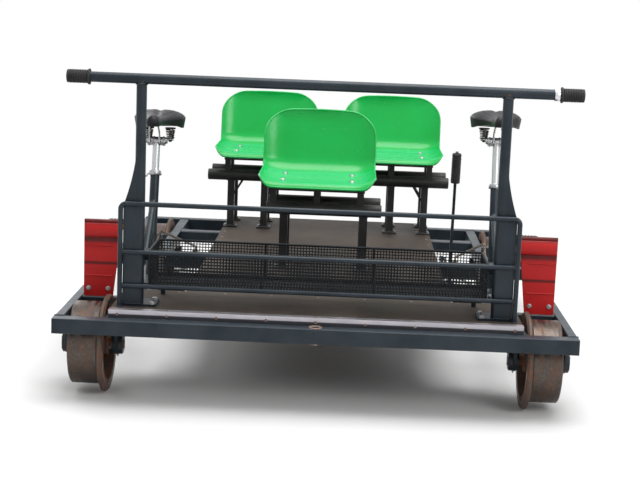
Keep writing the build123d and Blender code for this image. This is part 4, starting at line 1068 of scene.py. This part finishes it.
def build_collar(name, side):
    axis = Vector((0, sin(SEAT_LEAN), cos(SEAT_LEAN)))
    rear = Vector((0, cos(SEAT_LEAN), -sin(SEAT_LEAN)))
    foot_y, foot_z = SEAT_TUBE_FOOT
    top = Vector((side * STATION_X, foot_y + (SEAT_TUBE_TOP - foot_z) * tan(SEAT_LEAN), SEAT_TUBE_TOP))
    bm = bmesh.new()
    add_lathe(bm, top - axis * 0.016, axis, COLLAR, 30)
    barrel = top - axis * 0.008 + rear * 0.0255
    for shift in (-0.0075, 0.0075):
        low = barrel + Vector((shift - 0.005, -0.010, -0.0065))
        add_block(bm, low, barrel + Vector((shift + 0.005, 0.007, 0.0065)), 0.0015)
    add_lathe(bm, barrel - Vector((0.021, 0, 0)), (1, 0, 0), COLLAR_BARREL, 16)
    corners = ((side * 0.021, 0, 0), (side * 0.030, 0.004, 0), (side * 0.030, -0.048, -0.004))
    lever = rounded_path([barrel + Vector(corner) for corner in corners], (0.006,), 6)
    add_tube(bm, lever, 0.0042, sides=10, flatten=0.7)
    finished(bm, f"seat_collar_{name}", zinc, "frame", 45)


# Basket of welded mesh inside a rim wire
BASKET_PITCH = 0.0100
BASKET_WIRE = 0.0017
BASKET_RIM = 0.0040
BASKET_CROSSING = 0.0016
BASKET_CORNER = 0.012
BASKET_BELT = 0.0026
BASKET_STAKE = 0.0028


def spread(start, end):
    """Places one mesh pitch apart, or a little more, from start to end."""
    count = int((end - start) / BASKET_PITCH)
    return [start + (end - start) * k / count for k in range(count + 1)]


def build_basket():
    low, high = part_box("basket_walls")
    floor_low, floor_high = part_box("basket_floor")
    xs = (low.x + BASKET_RIM, high.x - BASKET_RIM)
    ys = (low.y + BASKET_RIM, high.y - BASKET_RIM)
    (x0, x1), (y0, y1) = xs, ys
    z0, z1 = floor_low.z + BASKET_WIRE, high.z - BASKET_RIM
    wires = []
    for x in spread(x0, x1):
        wires += [((x, y, z0), (x, y, z1)) for y in ys]
        wires.append(((x, y0, z0), (x, y1, z0)))
    for z in spread(z0, z1):
        wires += [((x0, y + BASKET_CROSSING, z), (x1, y + BASKET_CROSSING, z)) for y in ys]
        wires += [((x, y0, z), (x, y1, z)) for x in xs]
    for y in spread(y0, y1):
        wires.append(((x0, y, z0), (x1, y, z0)))
        wires += [((x, y, z0), (x, y, z1)) for x in xs]
    bm = bmesh.new()
    for start, end in wires:
        start, end = Vector(start), Vector(end)
        add_tube(bm, [start, (start + end) / 2, end], BASKET_WIRE, sides=5)
    for z, radius in ((z1, BASKET_RIM), ((z0 + z1) / 2, BASKET_BELT), (z0 + 0.003, BASKET_RIM * 0.8)):
        corners = [(0, y0, z), (x0, y0, z), (x0, y1, z), (x1, y1, z), (x1, y0, z), (0.001, y0, z)]
        add_tube(bm, rounded_path(corners, [BASKET_CORNER] * 4, 5), radius, sides=8, closed=True)
    for k in range(4):
        x = x0 + k * (x1 - x0) / 3
        for y in ys:
            add_tube(bm, [(x, y, z0), (x, y, z1)], BASKET_STAKE, sides=8)
    piece = finished(bm, "basket_mesh", basket_coat, "frame", 50)
    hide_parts("basket_walls", "basket_floor")


# Chains, link by link round ring and sprocket
CHAIN_PITCH = 0.0127
RING_RADIUS = CHAIN_PITCH / (2 * sin(pi / 42))
SPROCKET_RADIUS = CHAIN_PITCH / (2 * sin(pi / 20))
PLATE_END = 0.0041
PLATE_WAIST = 0.0031
PLATE_THICK = 0.0008
PLATE_OFFSETS = (0.00255, 0.00185)


def arc(centre_y, centre_z, radius, start, end, steps):
    """Points of an arc in the side plane."""
    turns = [start + (end - start) * step / steps for step in range(steps + 1)]
    return [Vector((0, centre_y + radius * cos(turn), centre_z + radius * sin(turn))) for turn in turns]


def chain_pins():
    """Places of the pins in the side plane, evenly round the chain's loop."""
    rear = axle_places["rear_left"]
    run = hypot(rear.y - CRANK_Y, rear.z - CRANK_Z)
    slope = atan2(rear.z - CRANK_Z, rear.y - CRANK_Y)
    wrap = acos((RING_RADIUS - SPROCKET_RADIUS) / run)
    line = arc(CRANK_Y, CRANK_Z, RING_RADIUS, slope + wrap, slope + 2 * pi - wrap, 60)
    line += arc(rear.y, rear.z, SPROCKET_RADIUS, slope - wrap, slope + wrap, 40)
    line.append(line[0].copy())
    total = path_length(line)
    count = 2 * round(total / CHAIN_PITCH / 2)
    return [walk(line, total * k / count)[0] for k in range(count)]


def link_outline():
    """Outline of a chain plate: two round ends and a waist."""
    outline = []
    for sign in (1, -1):
        for k in range(7):
            angle = -pi / 2 + pi * k / 6
            along = CHAIN_PITCH / 2 + PLATE_END * cos(angle)
            outline.append((sign * along, sign * PLATE_END * sin(angle)))
        outline.append((0.0, sign * PLATE_WAIST))
    return outline


def build_chain(name):
    x = middle(f"chain_{name}").x
    pins = chain_pins()
    outline = link_outline()
    bm = bmesh.new()
    for index, pin in enumerate(pins):
        after = pins[(index + 1) % len(pins)]
        way = (after - pin).normalized()
        normal = Vector((1, 0, 0)).cross(way)
        for across in BOTH:
            centre = (pin + after) / 2 + Vector((x + across * PLATE_OFFSETS[index % 2], 0, 0))
            add_prism(bm, outline, centre, way, normal, PLATE_THICK)
        for half, radius, sides in ((0.0031, 0.0017, 6), (0.0014, 0.0036, 8)):
            profile = ((0, radius), (2 * half, radius))
            add_lathe(bm, pin + Vector((x - half, 0, 0)), (1, 0, 0), profile, sides)
    piece = finished(bm, f"chain_{name}_links", chain_metal, "frame", 35)
    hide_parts(f"chain_{name}")


# Grips: ribbed rubber sleeves with a flange and a domed end
GRIP_LENGTH = 0.0750
GRIP_FLANGE = (
    (0, 0.0172), (0, 0.0245), (0.0012, 0.0255),
    (0.0048, 0.0255), (0.0060, 0.0245), (0.0062, 0.0212),
)
GRIP_END = (
    (0.0690, 0.0212), (0.0725, 0.0212), (0.0740, 0.0200), (0.0748, 0.0170),
    (0.0750, 0.0090), (0.0742, 0.0086), (0.0742, 0.0006),
)


def ribbed(start, end, count, first, pitch, rib):
    """A profile of ribs between a start and an end; a rib is (shift, radius) pairs."""
    ribs = [(first + pitch * k + shift, radius) for k in range(count) for shift, radius in rib]
    return [*start, *ribs, *end]


def build_grips():
    low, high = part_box("grips")
    y, z = (low.y + high.y) / 2, (low.z + high.z) / 2
    rib = ((0, 0.0200), (0.0010, 0.0219), (0.0030, 0.0219), (0.0040, 0.0200))
    profile = ribbed(GRIP_FLANGE, GRIP_END, 11, 0.0085, 0.0054, rib)
    for name, side in SIDES:
        bm = bmesh.new()
        add_lathe(bm, (side * (high.x - GRIP_LENGTH), y, z), (side, 0, 0), profile, 40)
        grip = finished(bm, f"grip_{name}_sleeve", grip_rubber, "frame", 50)
        if side < 0:
            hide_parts("grips")


# Pedals: teeth on the cage, a bearing cap and reflectors
PEDAL_TEETH = 7
PEDAL_ROWS = (0.0025, 0.0115)
PEDAL_END = 0.010
REFLECTOR_INSET_X = 0.016
REFLECTOR_INSET_Z = 0.006
REFLECTOR_THICK = 0.0022
PEDAL_TOOTH = ((0, 0.0024), (0.0022, 0.0016), (0.0026, 0.0004))
PEDAL_CAP = (
    (0, 0.0115), (0.0022, 0.0115), (0.0034, 0.0095),
    (0.0034, 0.0040), (0.0028, 0.0036), (0.0028, 0.0004),
)


def build_pedal(name, side, arm):
    node = f"pedal_{name}_{arm}"
    low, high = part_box(node)
    centre = (low + high) / 2
    bm = bmesh.new()
    rows = [low.y + inset for inset in PEDAL_ROWS] + [high.y - inset for inset in reversed(PEDAL_ROWS)]
    for y in rows:
        for k in range(PEDAL_TEETH):
            x = low.x + PEDAL_END + (high.x - low.x - 2 * PEDAL_END) * k / (PEDAL_TEETH - 1)
            for z, way in ((high.z, 1), (low.z, -1)):
                add_lathe(bm, (x, y, z - way * 0.0005), (0, 0, way), PEDAL_TOOTH, 8)
    outward = side if arm == "outer" else -side
    end_x = high.x if outward > 0 else low.x
    add_lathe(bm, (end_x - outward * 0.001, centre.y, centre.z), (outward, 0, 0), PEDAL_CAP, 24)
    finished(bm, f"{node}_teeth", pedal_plastic, f"{name}_{arm}_pedal", 40)
    half_x, half_z = (high.x - low.x) / 2 - REFLECTOR_INSET_X, (high.z - low.z) / 2 - REFLECTOR_INSET_Z
    outline = [(-half_x, -half_z), (half_x, -half_z), (half_x, half_z), (-half_x, half_z)]
    mirror = bmesh.new()
    for y, way in ((low.y, -1), (high.y, 1)):
        place = (centre.x, y + way * 0.0008, centre.z)
        add_prism(mirror, outline, place, (1, 0, 0), (0, 0, 1), REFLECTOR_THICK)
    finished(mirror, f"{node}_reflectors", amber, f"{name}_{arm}_pedal", 30)


# Cranksets: caps at both arms, ring bolts and notched bearing cups
CRANK_ARM_X = 0.0700
CRANK_CUP_X = 0.0340
RING_X = -0.051
RING_BOLTS = 5
RING_BOLT_INSET = 0.0105
CRANK_CAP = (
    (0, 0.0145), (0.0016, 0.0145), (0.0024, 0.0125),
    (0.0024, 0.0095), (0.0008, 0.0090), (0.0008, 0.0004),
)
RING_BOLT = (
    (0, 0.0056), (0.0015, 0.0056), (0.0022, 0.0046),
    (0.0022, 0.0026), (0.0010, 0.0022), (0.0010, 0.0003),
)


def build_crank_details(name, side):
    caps, bolts, cups = bmesh.new(), bmesh.new(), bmesh.new()
    for way in BOTH:
        x = side * STATION_X + side * way * CRANK_ARM_X
        out = (side * way, 0, 0)
        add_lathe(caps, (x - side * way * 0.0002, CRANK_Y, CRANK_Z), out, CRANK_CAP, 26)
        add_bolt(caps, (x - side * way * 0.0004, CRANK_Y, CRANK_Z), out, 0.0075, washer=False)
    finished(caps, f"crank_{name}_caps", zinc, f"crank_{name}", 40)
    for y, z in around(RING_BOLTS, RING_RADIUS - RING_BOLT_INSET):
        for way in BOTH:
            spot = (side * (STATION_X + RING_X) + way * 0.0012, CRANK_Y + y, CRANK_Z + z)
            add_lathe(bolts, spot, (way, 0, 0), RING_BOLT, 16)
    finished(bolts, f"ring_{name}_bolts", zinc, f"crank_{name}", 40)
    cup = notched(48, 0.0188, 0.0205, run=3)
    for way in BOTH:
        x = side * STATION_X + way * (CRANK_CUP_X + 0.0022)
        add_prism(cups, cup, (x, CRANK_Y, CRANK_Z), (0, 1, 0), (0, 0, 1), 0.0046)
    finished(cups, f"bearing_{name}_cups", axle_steel, "frame", 40)


# Hangers: bearing covers with bolts, and grease nipples under the housings
COVER_OUTER_X = 0.841
COVER_INNER_X = 0.644
COVER_BOLTS = 4
COVER_BOLT_RADIUS = 0.0265
NIPPLE_XS = (0.827, 0.660)
NIPPLE_DROP = 0.0355
COVER = ((0, 0.0345), (0.0020, 0.0345), (0.0030, 0.0332), (0.0030, 0.0180), (0.0020, 0.0170), (0, 0.0170))
NIPPLE = (
    (0, 0.0042), (0.0035, 0.0042), (0.0035, 0.0026),
    (0.0070, 0.0030), (0.0095, 0.0016), (0.0098, 0.0005),
)


def build_hanger_details():
    """Covers outside each wheel, and inside the front ones, where no sprocket sits."""
    covers, hardware = bmesh.new(), bmesh.new()
    for name, side in CORNERS:
        centre = axle_places[name]
        faces = [(side * COVER_OUTER_X, side)]
        if "front" in name:
            faces.append((side * COVER_INNER_X, -side))
        for face_x, way in faces:
            place = Vector((face_x, centre.y, centre.z))
            add_lathe(covers, place - Vector((way * 0.001, 0, 0)), (way, 0, 0), COVER, 36)
            for y, z in around(COVER_BOLTS, COVER_BOLT_RADIUS, pi / 4):
                spot = place + Vector((way * 0.0018, y, z))
                add_bolt(hardware, spot, (way, 0, 0), 0.0042, washer=False)
        for x in NIPPLE_XS:
            add_lathe(hardware, (side * x, centre.y, centre.z - NIPPLE_DROP), (0, 0, -1), NIPPLE, 10)
    finished(covers, "bearing_covers", paint, "frame", 40)
    finished(hardware, "bearing_hardware", zinc, "frame", 35)


# Wheels: chamfered axle end with a centre hole, and a key and three pins in the hub
HUB_X = 0.8005
AXLE_END = ((0, 0.0140), (0.0012, 0.0128), (0.0012, 0.0050), (-0.0015, 0.0020), (-0.0015, 0.0003))
HUB_PIN = ((0, 0.0030), (0.0014, 0.0030), (0.0022, 0.0018), (0.0022, 0.0003))
KEY_LOW = Vector((-0.004, -0.0035, 0.0135))
KEY_HIGH = Vector((0.004, 0.0035, 0.0205))
HUB_PINS = 3
HUB_PIN_RADIUS = 0.030
HUB_PIN_TURN = 0.4


def build_wheel_details(name, side):
    centre = axle_places[name]
    low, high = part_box(f"axle_{name}")
    outer_x = high.x if side > 0 else low.x
    out = (side, 0, 0)
    bm = bmesh.new()
    add_lathe(bm, (outer_x - side * 0.0011, centre.y, centre.z), out, AXLE_END, 24)
    hub = Vector((side * HUB_X, centre.y, centre.z))
    add_block(bm, hub + KEY_LOW, hub + KEY_HIGH, 0.0006)
    for y, z in around(HUB_PINS, HUB_PIN_RADIUS, HUB_PIN_TURN):
        add_lathe(bm, hub + Vector((-side * 0.0005, y, z)), out, HUB_PIN, 10)
    finished(bm, f"wheel_{name}_key", axle_steel, f"running_{name}", 40)


# Frame: welds, end caps and the coupling bushes
STAND_CAP = (
    (0, 0.0224), (0.0028, 0.0224), (0.0038, 0.0214),
    (0.0038, 0.0120), (0.0030, 0.0105), (0.0030, 0.0003),
)
BUSH = ((0, 0.0225), (0.0030, 0.0225), (0.0040, 0.0215), (0.0040, 0.0140), (0.0030, 0.0132), (0, 0.0132))
WELD_START = 0.003
FRAME_WELD = 0.0030
FLARE_WELD = 0.0032
REST_WELD = 0.0026
LEG_WELD = 0.0026
HOOP_WELD = 0.0024
RAIL_WELD = 0.0022
CROSS_HALF = 0.025
BAY_HALF = 0.015
LEG_HALF = 0.015


def tube_joints():
    """Joints of the frame's tubes: (x, y) at both sides of the tube, and the weld's drop at the top."""
    for y in (-BEAM_FACE_Y, BEAM_FACE_Y):
        for x, half in LONG_TUBES:
            for side in BOTH:
                yield (side * x - half, y), (side * x + half, y), 0.0
    for y in CROSS_YS:
        for side in BOTH:
            yield (side * CROSS_END_X, y - CROSS_HALF), (side * CROSS_END_X, y + CROSS_HALF), 0.002
    for y in BAY_YS:
        for side in BOTH:
            for x in BAY_END_XS:
                yield (side * x, y - BAY_HALF), (side * x, y + BAY_HALF), 0.001


def add_post_welds(bm, side):
    """Welds of a post, its flare, the hoop's foot, the hoop's rails and the basket's rest."""
    add_weld(bm, box_corners(side * FLARE_X, BAR_Y, deck_top_z + 0.0085, 0.0285, 0.020), FLARE_WELD)
    add_weld(bm, circle_points((side * POST_X, BAR_Y, POST_TOP_Z), (0, 0, 1), 0.0168), FRAME_WELD)
    foot = (side * HOOP_FOOT_X, HOOP_Y, deck_top_z + 0.001)
    add_weld(bm, circle_points(foot, (0, 0, 1), 0.0085, 16), HOOP_WELD)
    for z in RAIL_ZS:
        add_weld(bm, circle_points((side * RAIL_END_X, HOOP_Y, z), (1, 0, 0), 0.0078, 16), RAIL_WELD)
    for z in REST_ZS:
        add_weld(bm, [(side * x, REST_Y, z) for x in REST_XS], REST_WELD, closed=False)


def leg_places():
    """Places (x, y) of the stands' legs."""
    for seat_y, leg_xs in STAND_LEGS:
        for row in STAND_ROWS:
            for leg_x in leg_xs:
                yield leg_x, seat_y + row


def build_welds():
    bm = bmesh.new()
    low_z = frame_bottom_z + WELD_START
    for start, end, drop in tube_joints():
        high_z = frame_top_z - drop
        corners = [(*start, low_z), (*start, high_z), (*end, high_z), (*end, low_z)]
        add_weld(bm, corners, FRAME_WELD)
    for side in BOTH:
        add_post_welds(bm, side)
    for x, y in leg_places():
        for z in (deck_top_z + 0.0065, LEG_TOP_Z):
            add_weld(bm, box_corners(x, y, z, LEG_HALF, LEG_HALF), LEG_WELD)
    finished(bm, "frame_welds", paint, "frame", 60)


def build_frame_ends():
    caps, bushes = bmesh.new(), bmesh.new()
    for seat_y, half in STAND_TUBES:
        for row in STAND_ROWS:
            for side in BOTH:
                place = (side * (half - 0.002), seat_y + row, STAND_TUBE_Z)
                add_lathe(caps, place, (side, 0, 0), STAND_CAP, 28)
    finished(caps, "stand_caps", cap_plastic, "frame", 40)
    for y in (-COUPLING_Y, COUPLING_Y):
        for z, way in ((frame_top_z, 1), (frame_bottom_z, -1)):
            add_lathe(bushes, (0, y, z - way * 0.001), (0, 0, way), BUSH, 36)
    finished(bushes, "coupling_bushes", axle_steel, "frame", 40)


# Bolts and screws through feet, plates, boards and guards
POST_BOLTS = ((0.538, -0.942), (0.538, -0.870), (0.622, -0.870))
STATION_BOLT_XS = (0.610, 0.672)
STATION_BOLT_YS = (CRANK_Y - 0.034, CRANK_Y + 0.062, CRANK_Y + 0.164)
GUARD_BOLT_XS = (0.722, 0.789)
GUARD_BOLT_Y = -0.7074
GUARD_BOLT_RISE = 0.028
PLATE_TOP = 0.008
LEG_PLATE_TOP = 0.006
LEG_BOLT_SHIFT = 0.022
FRONT_SCREWS = 9
FRONT_SCREW_X = 0.640
FRONT_SCREW_Y = -1.0075
EDGE_SCREW_Y = -1.023
BACK_SCREW_Y = -0.700
CENTRE_SCREWS = 13
CENTRE_SCREW_X = 0.436
CENTRE_SCREW_YS = (-0.655, 1.000)


def add_screw(bm, place, direction, radius):
    """Countersunk screw head with a round recess."""
    add_lathe(bm, place, direction, (
        (-0.001, radius), (0.0004, radius), (0.0010, radius * 0.86), (0.0010, radius * 0.40),
        (0.0002, radius * 0.30), (0.0002, radius * 0.05),
    ), 16)


def build_fasteners():
    bolts, screws = bmesh.new(), bmesh.new()
    up, forward = (0, 0, 1), (0, -1, 0)
    for side in BOTH:
        for x, y in POST_BOLTS:
            add_bolt(bolts, (side * x, y, deck_top_z + PLATE_TOP), up, 0.010)
        for x in STATION_BOLT_XS:
            for y in STATION_BOLT_YS:
                add_bolt(bolts, (side * x, y, frame_top_z + PLATE_TOP), up, 0.009)
        for x in GUARD_BOLT_XS:
            add_bolt(bolts, (side * x, GUARD_BOLT_Y, frame_top_z + GUARD_BOLT_RISE), forward, 0.008)
    for x, y in leg_places():
        for way in BOTH:
            add_bolt(bolts, (x + way * LEG_BOLT_SHIFT, y, deck_top_z + LEG_PLATE_TOP), up, 0.007)
    finished(bolts, "fixing_bolts", zinc, "frame", 35)
    for k in range(FRONT_SCREWS):
        x = FRONT_SCREW_X * (2 * k / (FRONT_SCREWS - 1) - 1)
        add_screw(screws, (x, FRONT_SCREW_Y, deck_top_z + 0.003), up, 0.0050)
        add_screw(screws, (x, EDGE_SCREW_Y, deck_top_z - 0.012), forward, 0.0050)
        add_screw(screws, (x, BACK_SCREW_Y, deck_top_z), up, 0.0048)
    start_y, end_y = CENTRE_SCREW_YS
    for k in range(CENTRE_SCREWS):
        y = start_y + (end_y - start_y) * k / (CENTRE_SCREWS - 1)
        for x in (-CENTRE_SCREW_X, CENTRE_SCREW_X):
            add_screw(screws, (x, y, deck_top_z), up, 0.0048)
    finished(screws, "deck_screws", axle_steel, "frame", 35)


# Guards: a rolled band along the top that stands proud of the sheet
BAND_DROP = 0.0360
BAND_HEIGHT = 0.052
BAND_NARROW = 0.003
BAND_PROUD = 0.0080
GUARD_WIDTH = 0.130
GUARD_TAPER = 0.031
GUARD_OVERHANG = 0.0012


def build_guard_bands():
    bm = bmesh.new()
    face_y = guard_low.y + 0.003
    z = guard_high.z - BAND_DROP
    bottom, top = z - BAND_HEIGHT / 2, z + BAND_HEIGHT / 2
    taper = GUARD_TAPER * BAND_DROP / (guard_high.z - guard_low.z)
    section = (
        (face_y + 0.001, bottom), (face_y - BAND_PROUD * 0.7, bottom + 0.002),
        (face_y - BAND_PROUD, bottom + 0.005), (face_y - BAND_PROUD, top - 0.005),
        (face_y - BAND_PROUD * 0.6, top - 0.001), (face_y + 0.001, top),
    )
    outer = guard_high.x + GUARD_OVERHANG - BAND_NARROW
    inner = guard_high.x - GUARD_WIDTH + taper - GUARD_OVERHANG + BAND_NARROW
    for side in BOTH:
        bridge(bm, [[Vector((side * x, y, level)) for y, level in section] for x in (outer, inner)])
    finished(bm, "guard_lips", red_paint, "frame", 50)


# Brake: a ribbed grip on the lever and the bolts of its levers and shoes
LEVER_TOP = Vector((0.505, 0.030, 0.745))
LEVER_FOOT = Vector((0.505, 0.100, 0.212))
LEVER_GRIP_LENGTH = 0.1158
LEVER_GRIP_START = ((0, 0.0153), (0, 0.0172), (0.002, 0.0180))
LEVER_GRIP_END = ((0.108, 0.0180), (0.1135, 0.0180), (0.1165, 0.0160), (0.1180, 0.0110), (0.1185, 0.0005))
SHOE_BOLT_ZS = (0.142, 0.182)


def build_brake_details():
    grip, steel = bmesh.new(), bmesh.new()
    up = (LEVER_TOP - LEVER_FOOT).normalized()
    rib = ((0, 0.0168), (0.0018, 0.0184), (0.0058, 0.0184), (0.0076, 0.0168))
    profile = ribbed(LEVER_GRIP_START, LEVER_GRIP_END, 10, 0.006, 0.0095, rib)
    add_lathe(grip, LEVER_TOP - up * LEVER_GRIP_LENGTH, up, profile, 30)
    finished(grip, "brake_grip", grip_rubber, "frame", 50)
    add_bolt(steel, (BRAKE_X, LEVER_FOOT.y, LEVER_FOOT.z), (-1, 0, 0), 0.011)
    add_bolt(steel, (BRAKE_X, BRAKE_Y, BRAKE_ROD_Z), (-1, 0, 0), 0.009)
    for side in BOTH:
        add_bolt(steel, (side * SHAFT_END_X, BRAKE_Y, SHAFT_Z), (side, 0, 0), 0.012)
        for z in SHOE_BOLT_ZS:
            add_bolt(steel, (side * SHOE_BOLT_X, BRAKE_Y + 0.015, z), (side, 0, 0), 0.007)
    finished(steel, "brake_bolts", zinc, "frame", 35)


# Pale ring on the bar, just inside the right grip
BAR_RING_X = 0.730
BAR_RING = ((0, 0.0170), (0, 0.0192), (0.001, 0.0200), (0.0165, 0.0200), (0.0175, 0.0192), (0.0175, 0.0170))


def build_bar_ring():
    bm = bmesh.new()
    add_lathe(bm, (BAR_RING_X, BAR_Y, BAR_Z), (1, 0, 0), BAR_RING, 36)
    finished(bm, "bar_ring", ring_plate, "frame", 40)


# Floor, lights and camera
def build_floor():
    """Pale floor that turns to plain white, also in mirrors, away from the bike."""
    bm = bmesh.new()
    bmesh.ops.create_grid(bm, x_segments=1, y_segments=1, size=FLOOR_SIZE)
    mesh = bpy.data.meshes.new("floor")
    bm.to_mesh(mesh)
    bm.free()
    look = Look("floor")
    level = look.place((1.0, 0.82, 0.0))
    length = look.made("ShaderNodeVectorMath", "Value", {0: level}, operation="LENGTH")
    tone = look.mix(look.noise(0.8), (0.68, 0.68, 0.68), (0.74, 0.74, 0.74))
    mesh.materials.append(look.finish(tone, 0.75))
    white = look.made("ShaderNodeEmission", 0, {"Color": WHITE, "Strength": 1.0})
    shown = look.times(look.ramp(length, FLOOR_NEAR, FLOOR_FAR), look.looked_at())
    blend = look.made("ShaderNodeMixShader", 0, {0: shown, 1: look.shader.outputs[0], 2: white})
    look.link(blend, look.tree.nodes["Material Output"].inputs["Surface"])
    new_object("floor", mesh)


def build_world():
    """White to look at and in mirrors; as light a soft sky, bright overhead and darker at the horizon."""
    world = bpy.data.worlds.new("studio")
    bpy.context.scene.world = world
    look = Look("studio", world)
    back = look.tree.nodes["Background"]
    look.feed(WHITE, back.inputs["Color"])
    height = look.axis("Z", look.node("ShaderNodeTexCoord").outputs["Generated"])
    sky = look.ramp(height, -0.05, 0.75, 0.16, 0.95)
    level = look.made("ShaderNodeMix", 0, {"Factor": look.looked_at(), 2: sky, 3: 1.0})
    look.link(level, back.inputs["Strength"])


def build_lights():
    """One large soft light above, one from the front right, one low from behind."""
    for name, place, size, power in LAMPS:
        lamp = bpy.data.lights.new(name, "AREA")
        lamp.shape = "DISK"
        lamp.size = size
        lamp.energy = power
        aim = LAMP_AIM - Vector(place)
        turn = aim.to_track_quat("-Z", "Y").to_matrix().to_4x4()
        new_object(name, lamp).matrix_world = Matrix.Translation(place) @ turn


def build_camera():
    """The photograph's viewing place and roll, aimed at the bike."""
    level = cos(CAMERA_PITCH)
    forward = Vector((sin(CAMERA_YAW) * level, cos(CAMERA_YAW) * level, -sin(CAMERA_PITCH)))
    right = Vector((cos(CAMERA_YAW), -sin(CAMERA_YAW), 0))
    up = right.cross(forward)
    rolled_right = right * cos(CAMERA_ROLL) + up * sin(CAMERA_ROLL)
    rolled_up = up * cos(CAMERA_ROLL) - right * sin(CAMERA_ROLL)
    camera = bpy.data.cameras.new("camera")
    camera.lens = CAMERA_LENS
    camera_object = new_object("camera", camera)
    turn = Matrix((rolled_right, rolled_up, -forward)).transposed().to_4x4()
    camera_object.matrix_world = Matrix.Translation(CAMERA_PLACE) @ turn
    bpy.context.scene.camera = camera_object


for node in SEAT_ROWS:
    build_shell(node)
for name, side in SIDES:
    build_saddle(name)
    build_collar(name, side)
    build_chain(name)
    build_crank_details(name, side)
    for arm in ARMS:
        build_pedal(name, side, arm)
for name, side in CORNERS:
    build_wheel_details(name, side)
build_basket()
build_grips()
build_hanger_details()
build_welds()
build_frame_ends()
build_fasteners()
build_guard_bands()
build_brake_details()
build_bar_ring()
build_floor()
build_world()
build_lights()
build_camera()
bpy.context.scene.view_settings.view_transform = "Standard"
